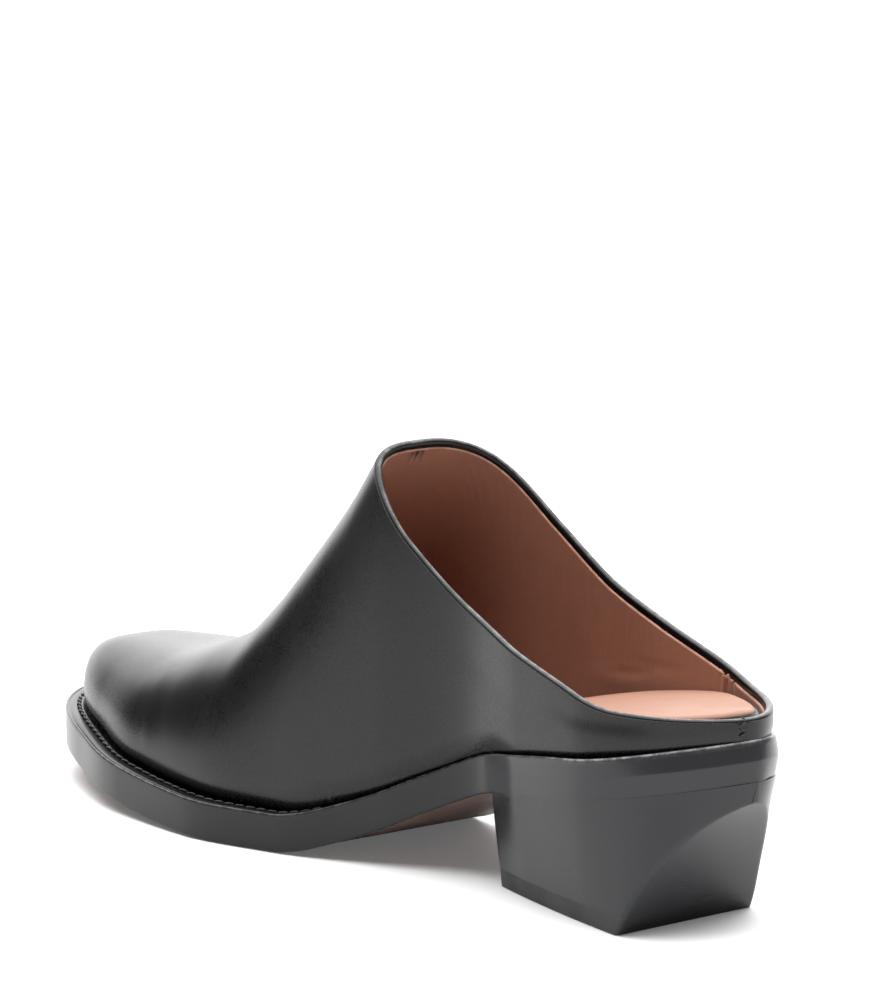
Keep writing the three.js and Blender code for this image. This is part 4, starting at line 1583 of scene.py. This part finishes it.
@dataclass
class HeelBlock:
    """Stacked heel with its sloping cut behind, and the rubber top piece under it.

    Most of its sizes and of its faces' shares of BALL_WIDTH come from searches made outside this
    script, and were rounded.
    """

    front: float = 0.2905 * LENGTH
    front_lean: float = -1.9
    back_edge: float = 0.084 * LENGTH
    back_lean: float = 1.8
    undercut: float = 0.565
    hollow: float = 0.3
    waist: tuple[float, float] = (-0.3, 3.3)
    waist_power: float = 1.1
    upright: float = 1.12
    face_back: tuple[float, float] = (0.298, 0.230)
    face_front: tuple[float, float] = (0.167, 0.198)
    bow: float = 0.9
    corner: float = 1.2
    side_points: int = 110
    end_points: int = 60
    cut_rows: int = 60
    seat_rows: int = 13
    lift_rows: int = 12
    flush: float = 0.0005
    halvings: int = 30

    def _ground(self, station: np.ndarray) -> tuple[np.ndarray, np.ndarray]:
        """Sideways places of the ground face's outline."""
        along = (station - self.back_edge) / (self.front - self.back_edge)
        rounding = rounded_end((self.back_edge - station) / (self.back_edge - self.back_lean), 2)
        bow = self.bow * np.maximum(0, 4 * along * (1 - along))
        edges = []
        for back, front in zip(self.face_back, self.face_front):
            share = back + (front - back) * along
            edges.append((share * BALL_WIDTH + bow) * rounding)
        return edges[0], -edges[1]

    def middle(self) -> tuple[float, float]:
        """Station and sideways place of the middle of the ground face."""
        station = (self.back_edge + self.front) / 2
        lateral, medial = self._ground(np.array(station))
        return station, float(lateral + medial) / 2

    def _edges(self, station: np.ndarray, level: np.ndarray) -> tuple[np.ndarray, np.ndarray]:
        """Sideways places of the block's sides, between the ground face and the seat."""
        back = self.back_lean * (1 - level)
        seat = sole_edges(station - back)
        inner = ease(station, *SEAT_SPAN)
        seat = (seat[0] - OUTER_INSET, seat[1] + SEAT_INSET * inner)
        ground = self._ground(station - back + self.back_lean)
        bend = level**self.waist_power
        drawn = 4 * bend * (1 - bend) * inner
        lateral, medial = (s - (s - g) * (1 - level) ** self.upright for g, s in zip(ground, seat))
        return lateral - self.waist[0] * drawn, medial + self.waist[1] * drawn

    def _cut(self, level: float) -> float:
        """Station of the sloping cut at a level, or of the rounded back above the cut."""
        back = self.back_lean * (1 - level)
        cut = back
        for _ in range(self.halvings):
            height = level * float(underside(np.array(cut)))
            growth = 1 + self.hollow * (height / HEEL_HEIGHT) ** 3
            cut = max(back, self.back_edge - self.undercut * height * growth)
        return cut

    def _cut_top(self) -> float:
        """Level at which the sloping cut runs out into the rounded back, found by halving."""
        low, high = 0.2, 1.0
        for _ in range(self.halvings):
            middle = 0.5 * (low + high)
            if self._cut(middle) > self.back_lean * (1 - middle) + 1e-6:
                low = middle
            else:
                high = middle
        return high

    def _ring(self, level: float) -> np.ndarray:
        """Outline of the block at a level from 0, the floor, to 1, the seat.

        Args:
            level: share of the height at each station.

        Returns:
            Points of shape (loop, 3), closed by its last point meeting its first.
        """
        cut = self._cut(level)
        front = self.front + self.front_lean * level
        share = 1 - np.cos(0.5 * np.pi * np.linspace(0, 1, self.side_points))
        stations = cut + (front - cut) * share
        lateral, medial = self._edges(stations, np.full_like(stations, level))
        over = 0.5 - 0.5 * np.cos(np.pi * np.linspace(0, 1, self.end_points))
        breast = np.stack([np.full_like(over, front), lateral[-1] + (medial[-1] - lateral[-1]) * over], 1)
        rear = np.stack([np.full_like(over, cut), medial[0] + (lateral[0] - medial[0]) * over], 1)
        outer = np.stack([stations, lateral], 1)
        inner = np.stack([stations, medial], 1)[::-1]
        loop = self._soften(np.concatenate([outer[:-1], breast[:-1], inner[:-1], rear[:-1]]))
        return closed(np.column_stack([loop, level * underside(loop[:, 0])]))

    def _soften(self, loop: np.ndarray) -> np.ndarray:
        """Rounds the corners of a closed plan outline by a mean over a short distance."""
        steps = np.linalg.norm(np.roll(loop, -1, axis=0) - loop, axis=1)
        total = steps.sum()
        run = np.concatenate([[0.0], np.cumsum(steps)[:-1]])
        weight = 0.5 * (steps + np.roll(steps, 1)) + 1e-6
        gap = np.abs(run[:, None] - run[None, :])
        gap = np.minimum(gap, total - gap)
        kernel = np.exp(-((gap / self.corner) ** 2)) * weight[None, :]
        return kernel @ loop / kernel.sum(1, keepdims=True)

    def _solid(self, rings: list[np.ndarray]) -> Skin:
        """Skin over rings, with flat faces above and below."""
        skin = Skin()
        skin.add(np.stack(rings, axis=1))
        side = self.side_points - 1
        end = self.end_points - 1
        share = np.linspace(0, 1, 9)[None, :, None]
        for ring, flip in ((rings[0], True), (rings[-1], False)):
            outer = ring[: side + 1]
            inner = ring[side + end : side + end + side + 1][::-1]
            skin.add(outer[:, None] + share * (inner - outer)[:, None], flip=flip)
            rear = ring[2 * side + end :]
            closing = np.repeat(((rear[0] + rear[-1]) / 2)[None, :], len(rear), axis=0)
            skin.add(np.stack([rear, closing], axis=1), flip=not flip)
        skin.weld()
        return skin

    def build(self, paint: bpy.types.Material, rubber: bpy.types.Material) -> None:
        """Builds the heel block and its top piece.

        Args:
            paint: material of the block.
            rubber: material of the top piece.
        """
        part = TOP_PIECE_TOP / float(underside(np.array(self.back_edge)))
        self._block(part, paint)
        self._top_piece(part, rubber)

    def _block(self, part: float, paint: bpy.types.Material) -> None:
        """The stack from the top piece to the seat, with its rings crowded where the cut runs out."""
        top = self._cut_top()
        cut = part + (top - part) * (1 - (1 - np.linspace(0, 1, self.cut_rows)) ** 2)
        seat = np.linspace(top, 1.0 - self.flush, self.seat_rows + 1)[1:]
        levels = [cut[0], part + self.flush, *cut[1:], *seat, 1.0]
        rings = [self._ring(float(level)) for level in levels]
        for ring in rings:
            above = underside(ring[:, 0])
            rise = (above - TOP_PIECE_TOP) / (above * (1 - part))
            ring[:, 2] = TOP_PIECE_TOP + (ring[:, 2] - part * above) * rise
        heel = self._solid(rings).make("heel_stack", [paint], "heel_block")
        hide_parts("heel")

    def _top_piece(self, part: float, rubber: bpy.types.Material) -> None:
        """The rubber lift, with a level top."""
        levels = [*np.linspace(0.0, part - self.flush, self.lift_rows), part]
        rings = [self._ring(float(level)) for level in levels]
        for ring in rings:
            ring[:, 2] *= TOP_PIECE_TOP / (part * underside(ring[:, 0]))
        top_piece = self._solid(rings).make("rubber_top_piece", [rubber], "top_piece_rubber")
        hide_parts("top_piece")


_ground_middle = HeelBlock().middle()
ORIGIN: Point = (_ground_middle[0], _ground_middle[1], 0.0)


# ---- Studio --------------------------------------------------------------------------------------


@dataclass
class Studio:
    """Pale floor, soft light and the camera."""

    aim: Point = (0.0160, 0.0418, 0.1018)
    toward_camera: Point = (-0.7588, 0.6308, 0.1628)
    distance: float = 1.150
    focal_length: float = 172.5
    floor_size: float = 14.0
    floor_drop: float = 0.00015
    floor_tones: tuple[float, float] = (0.86, 0.88)
    floor_roughness: float = 0.75
    floor_specular: float = 0.2
    floor_lift: float = 0.11
    backdrop: float = 2.3
    backdrop_held_back: float = 0.85
    backdrop_sides: tuple[float, float] = (0.66, 0.88)
    backdrop_top: tuple[float, float] = (0.34, 0.58)
    ambient: float = 0.09
    ceiling: float = 3.2
    ceiling_tilt: float = 16.0
    ceiling_edge: tuple[float, float] = (0.56, 0.84)
    lamp_place: Point = (-0.15, 0.40, 1.9)
    lamp_aim: Point = (0.05, 0.0, 0.0)
    lamp_size: float = 1.5
    lamp_power: float = 24.0

    def build(self) -> None:
        """Builds the floor, the world, the lamps and the camera."""
        self._floor()
        self._world()
        self._lamp()
        self._camera()
        scene = bpy.context.scene
        scene.view_settings.view_transform = "Standard"
        scene.view_settings.look = "None"

    def _floor(self) -> None:
        """A plain pale floor."""
        half = self.floor_size / 2
        mesh = bpy.data.meshes.new("studio_floor")
        corners = ((-half, -half), (half, -half), (half, half), (-half, half))
        mesh.from_pydata([(x, y, -self.floor_drop) for x, y in corners], [], [(0, 1, 2, 3)])
        material, nodes, shader = new_material("Pale floor")
        first, second = (grey(tone) for tone in self.floor_tones)
        tone = ToneDrift().place(nodes, First=first, Second=second, Scale=2.0, Mottle=0.2)
        nodes.feed(shader.inputs["Base Color"], tone.outputs["Colour"])
        shader.inputs["Roughness"].default_value = self.floor_roughness
        shader.inputs["Specular IOR Level"].default_value = self.floor_specular
        is_seen = nodes.add("LightPath").outputs["Is Camera Ray"]
        shader.inputs["Emission Color"].default_value = grey(1.0)
        nodes.feed(shader.inputs["Emission Strength"], nodes.math("MULTIPLY", is_seen, self.floor_lift))
        mesh.materials.append(material)
        floor = bpy.data.objects.new("studio_floor", mesh)
        bpy.context.scene.collection.objects.link(floor)

    def _world(self) -> None:
        """Soft surroundings: plain white to the eye, bright behind and above the shoe, dim beside it."""
        world = bpy.data.worlds.new("Studio")
        world.use_nodes = True
        bpy.context.scene.world = world
        nodes = Nodes(world.node_tree)
        background = world.node_tree.nodes["Background"]
        outlet = world.node_tree.nodes["World Output"]
        way = nodes.add("TexCoord").outputs["Generated"]
        ahead = unit(np.array([-self.toward_camera[0], -self.toward_camera[1], 0.0]))
        backdrop = self._backdrop(nodes, way, ahead)
        glow = nodes.math("ADD", nodes.math("MULTIPLY", backdrop, self.backdrop), self.ambient)
        tilt = math.radians(self.ceiling_tilt)
        overhead = math.sin(tilt) * ahead + math.cos(tilt) * np.array([0.0, 0.0, 1.0])
        near = nodes.add("VectorMath", {"0": way, "1": tuple(overhead)}, operation="DOT_PRODUCT")
        ceiling = nodes.spread(near.outputs["Value"], *self.ceiling_edge)
        glow = nodes.math("ADD", glow, nodes.math("MULTIPLY", ceiling, self.ceiling))
        background.inputs["Color"].default_value = grey(1.0)
        nodes.feed(background.inputs["Strength"], glow)
        plain = nodes.add("Background", {"Color": grey(1.0), "Strength": 1.0})
        is_seen = nodes.add("LightPath").outputs["Is Camera Ray"]
        mix = nodes.add("MixShader", {"0": is_seen, "1": background.outputs[0], "2": plain.outputs[0]})
        nodes.feed(outlet.inputs["Surface"], mix.outputs[0])

    def _backdrop(self, nodes: Nodes, way: Socket, ahead: np.ndarray) -> Socket:
        """A bright wall behind the shoe for gloss, held back where it would light matt surfaces.

        Args:
            nodes: the world's nodes.
            way: the direction looked in.
            ahead: level direction from the camera to the shoe.

        Returns:
            The wall's brightness, from 0 to 1.
        """
        along = nodes.add("VectorMath", {"0": way, "1": tuple(ahead)}, operation="DOT_PRODUCT")
        height = nodes.add("SeparateXYZ", {"Vector": way}).outputs[2]
        level = nodes.remaining(nodes.math("MULTIPLY", height, height))
        level = nodes.math("SQRT", nodes.math("MAXIMUM", level, 1e-4))
        facing = nodes.math("DIVIDE", along.outputs["Value"], level)
        low = nodes.remaining(nodes.spread(height, *self.backdrop_top), clamp=True)
        wall = nodes.math("MULTIPLY", nodes.spread(facing, *self.backdrop_sides), low)
        is_soft = nodes.add("LightPath").outputs["Is Diffuse Ray"]
        held_back = nodes.math("MULTIPLY", is_soft, self.backdrop_held_back)
        return nodes.math("MULTIPLY", wall, nodes.remaining(held_back))

    def _lamp(self) -> None:
        """A square soft lamp overhead, which reflections don't show."""
        lamp = bpy.data.lights.new("Overhead", "AREA")
        lamp.shape, lamp.size, lamp.energy = "SQUARE", self.lamp_size, self.lamp_power
        holder = bpy.data.objects.new("Overhead", lamp)
        bpy.context.scene.collection.objects.link(holder)
        holder.location = self.lamp_place
        holder.visible_glossy = False
        aim = Vector(self.lamp_aim) - Vector(self.lamp_place)
        holder.rotation_euler = aim.to_track_quat("-Z", "Y").to_euler()

    def _camera(self) -> None:
        """The camera behind the shoe's outer side, a little above it."""
        camera = bpy.data.cameras.new("Camera")
        camera.lens = self.focal_length
        camera.sensor_width = 36.0
        camera.clip_start = 0.05
        holder = bpy.data.objects.new("Camera", camera)
        bpy.context.scene.collection.objects.link(holder)
        back = Vector(self.toward_camera).normalized()
        holder.location = Vector(self.aim) + back * self.distance
        holder.rotation_euler = (-back).to_track_quat("-Z", "Y").to_euler()
        bpy.context.scene.camera = holder


# ---- Assembly ------------------------------------------------------------------------------------


def main() -> None:
    """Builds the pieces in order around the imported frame."""
    logging.basicConfig(level=logging.INFO, format="%(name)s: %(message)s")
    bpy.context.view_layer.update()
    calf = CalfFinish().material()
    paint = EdgePaintFinish().material()
    thread = ThreadFinish().material()
    rubber = RubberFinish().material()
    # the lining's third colour, a lighter tan, is the painted highlight on its rolled edge
    lining = TanFinish(
        "Tan lining", (0.32, 0.142, 0.090), (0.29, 0.127, 0.080), (0.62, 0.36, 0.26),
        wrinkle_pitch=0.0042, wrinkle_span=(0.10, 0.30),
    ).material()
    # the sock's third colour, a lighter tan, lies on the outer rows of the footbed's rounded top edge
    sock = TanFinish("Tan sock", (0.37, 0.185, 0.122), (0.355, 0.176, 0.116), (0.48, 0.26, 0.18)).material()
    # the sole's tan is partly its own colour and partly painted shade: it is darker to match the shade under
    # the arch, where the underside shows
    sole = TanFinish(
        "Tan sole leather", (0.15, 0.078, 0.05), (0.12, 0.06, 0.038), (0.07, 0.035, 0.02),
        roughness=(0.42, 0.5),
    ).material()
    bound = CalfFinish(name="Black footbed binding", roughness=(0.3, 0.36)).material()
    Upper().build(calf, thread)
    Lining().build(lining)
    Footbed().build(sock, bound)
    outline = SoleOutline()
    Welt(outline).build(paint, thread)
    Outsole(outline).build(paint, sole)
    HeelBlock().build(paint, rubber)
    Studio().build()


if __name__ == "__main__":
    main()
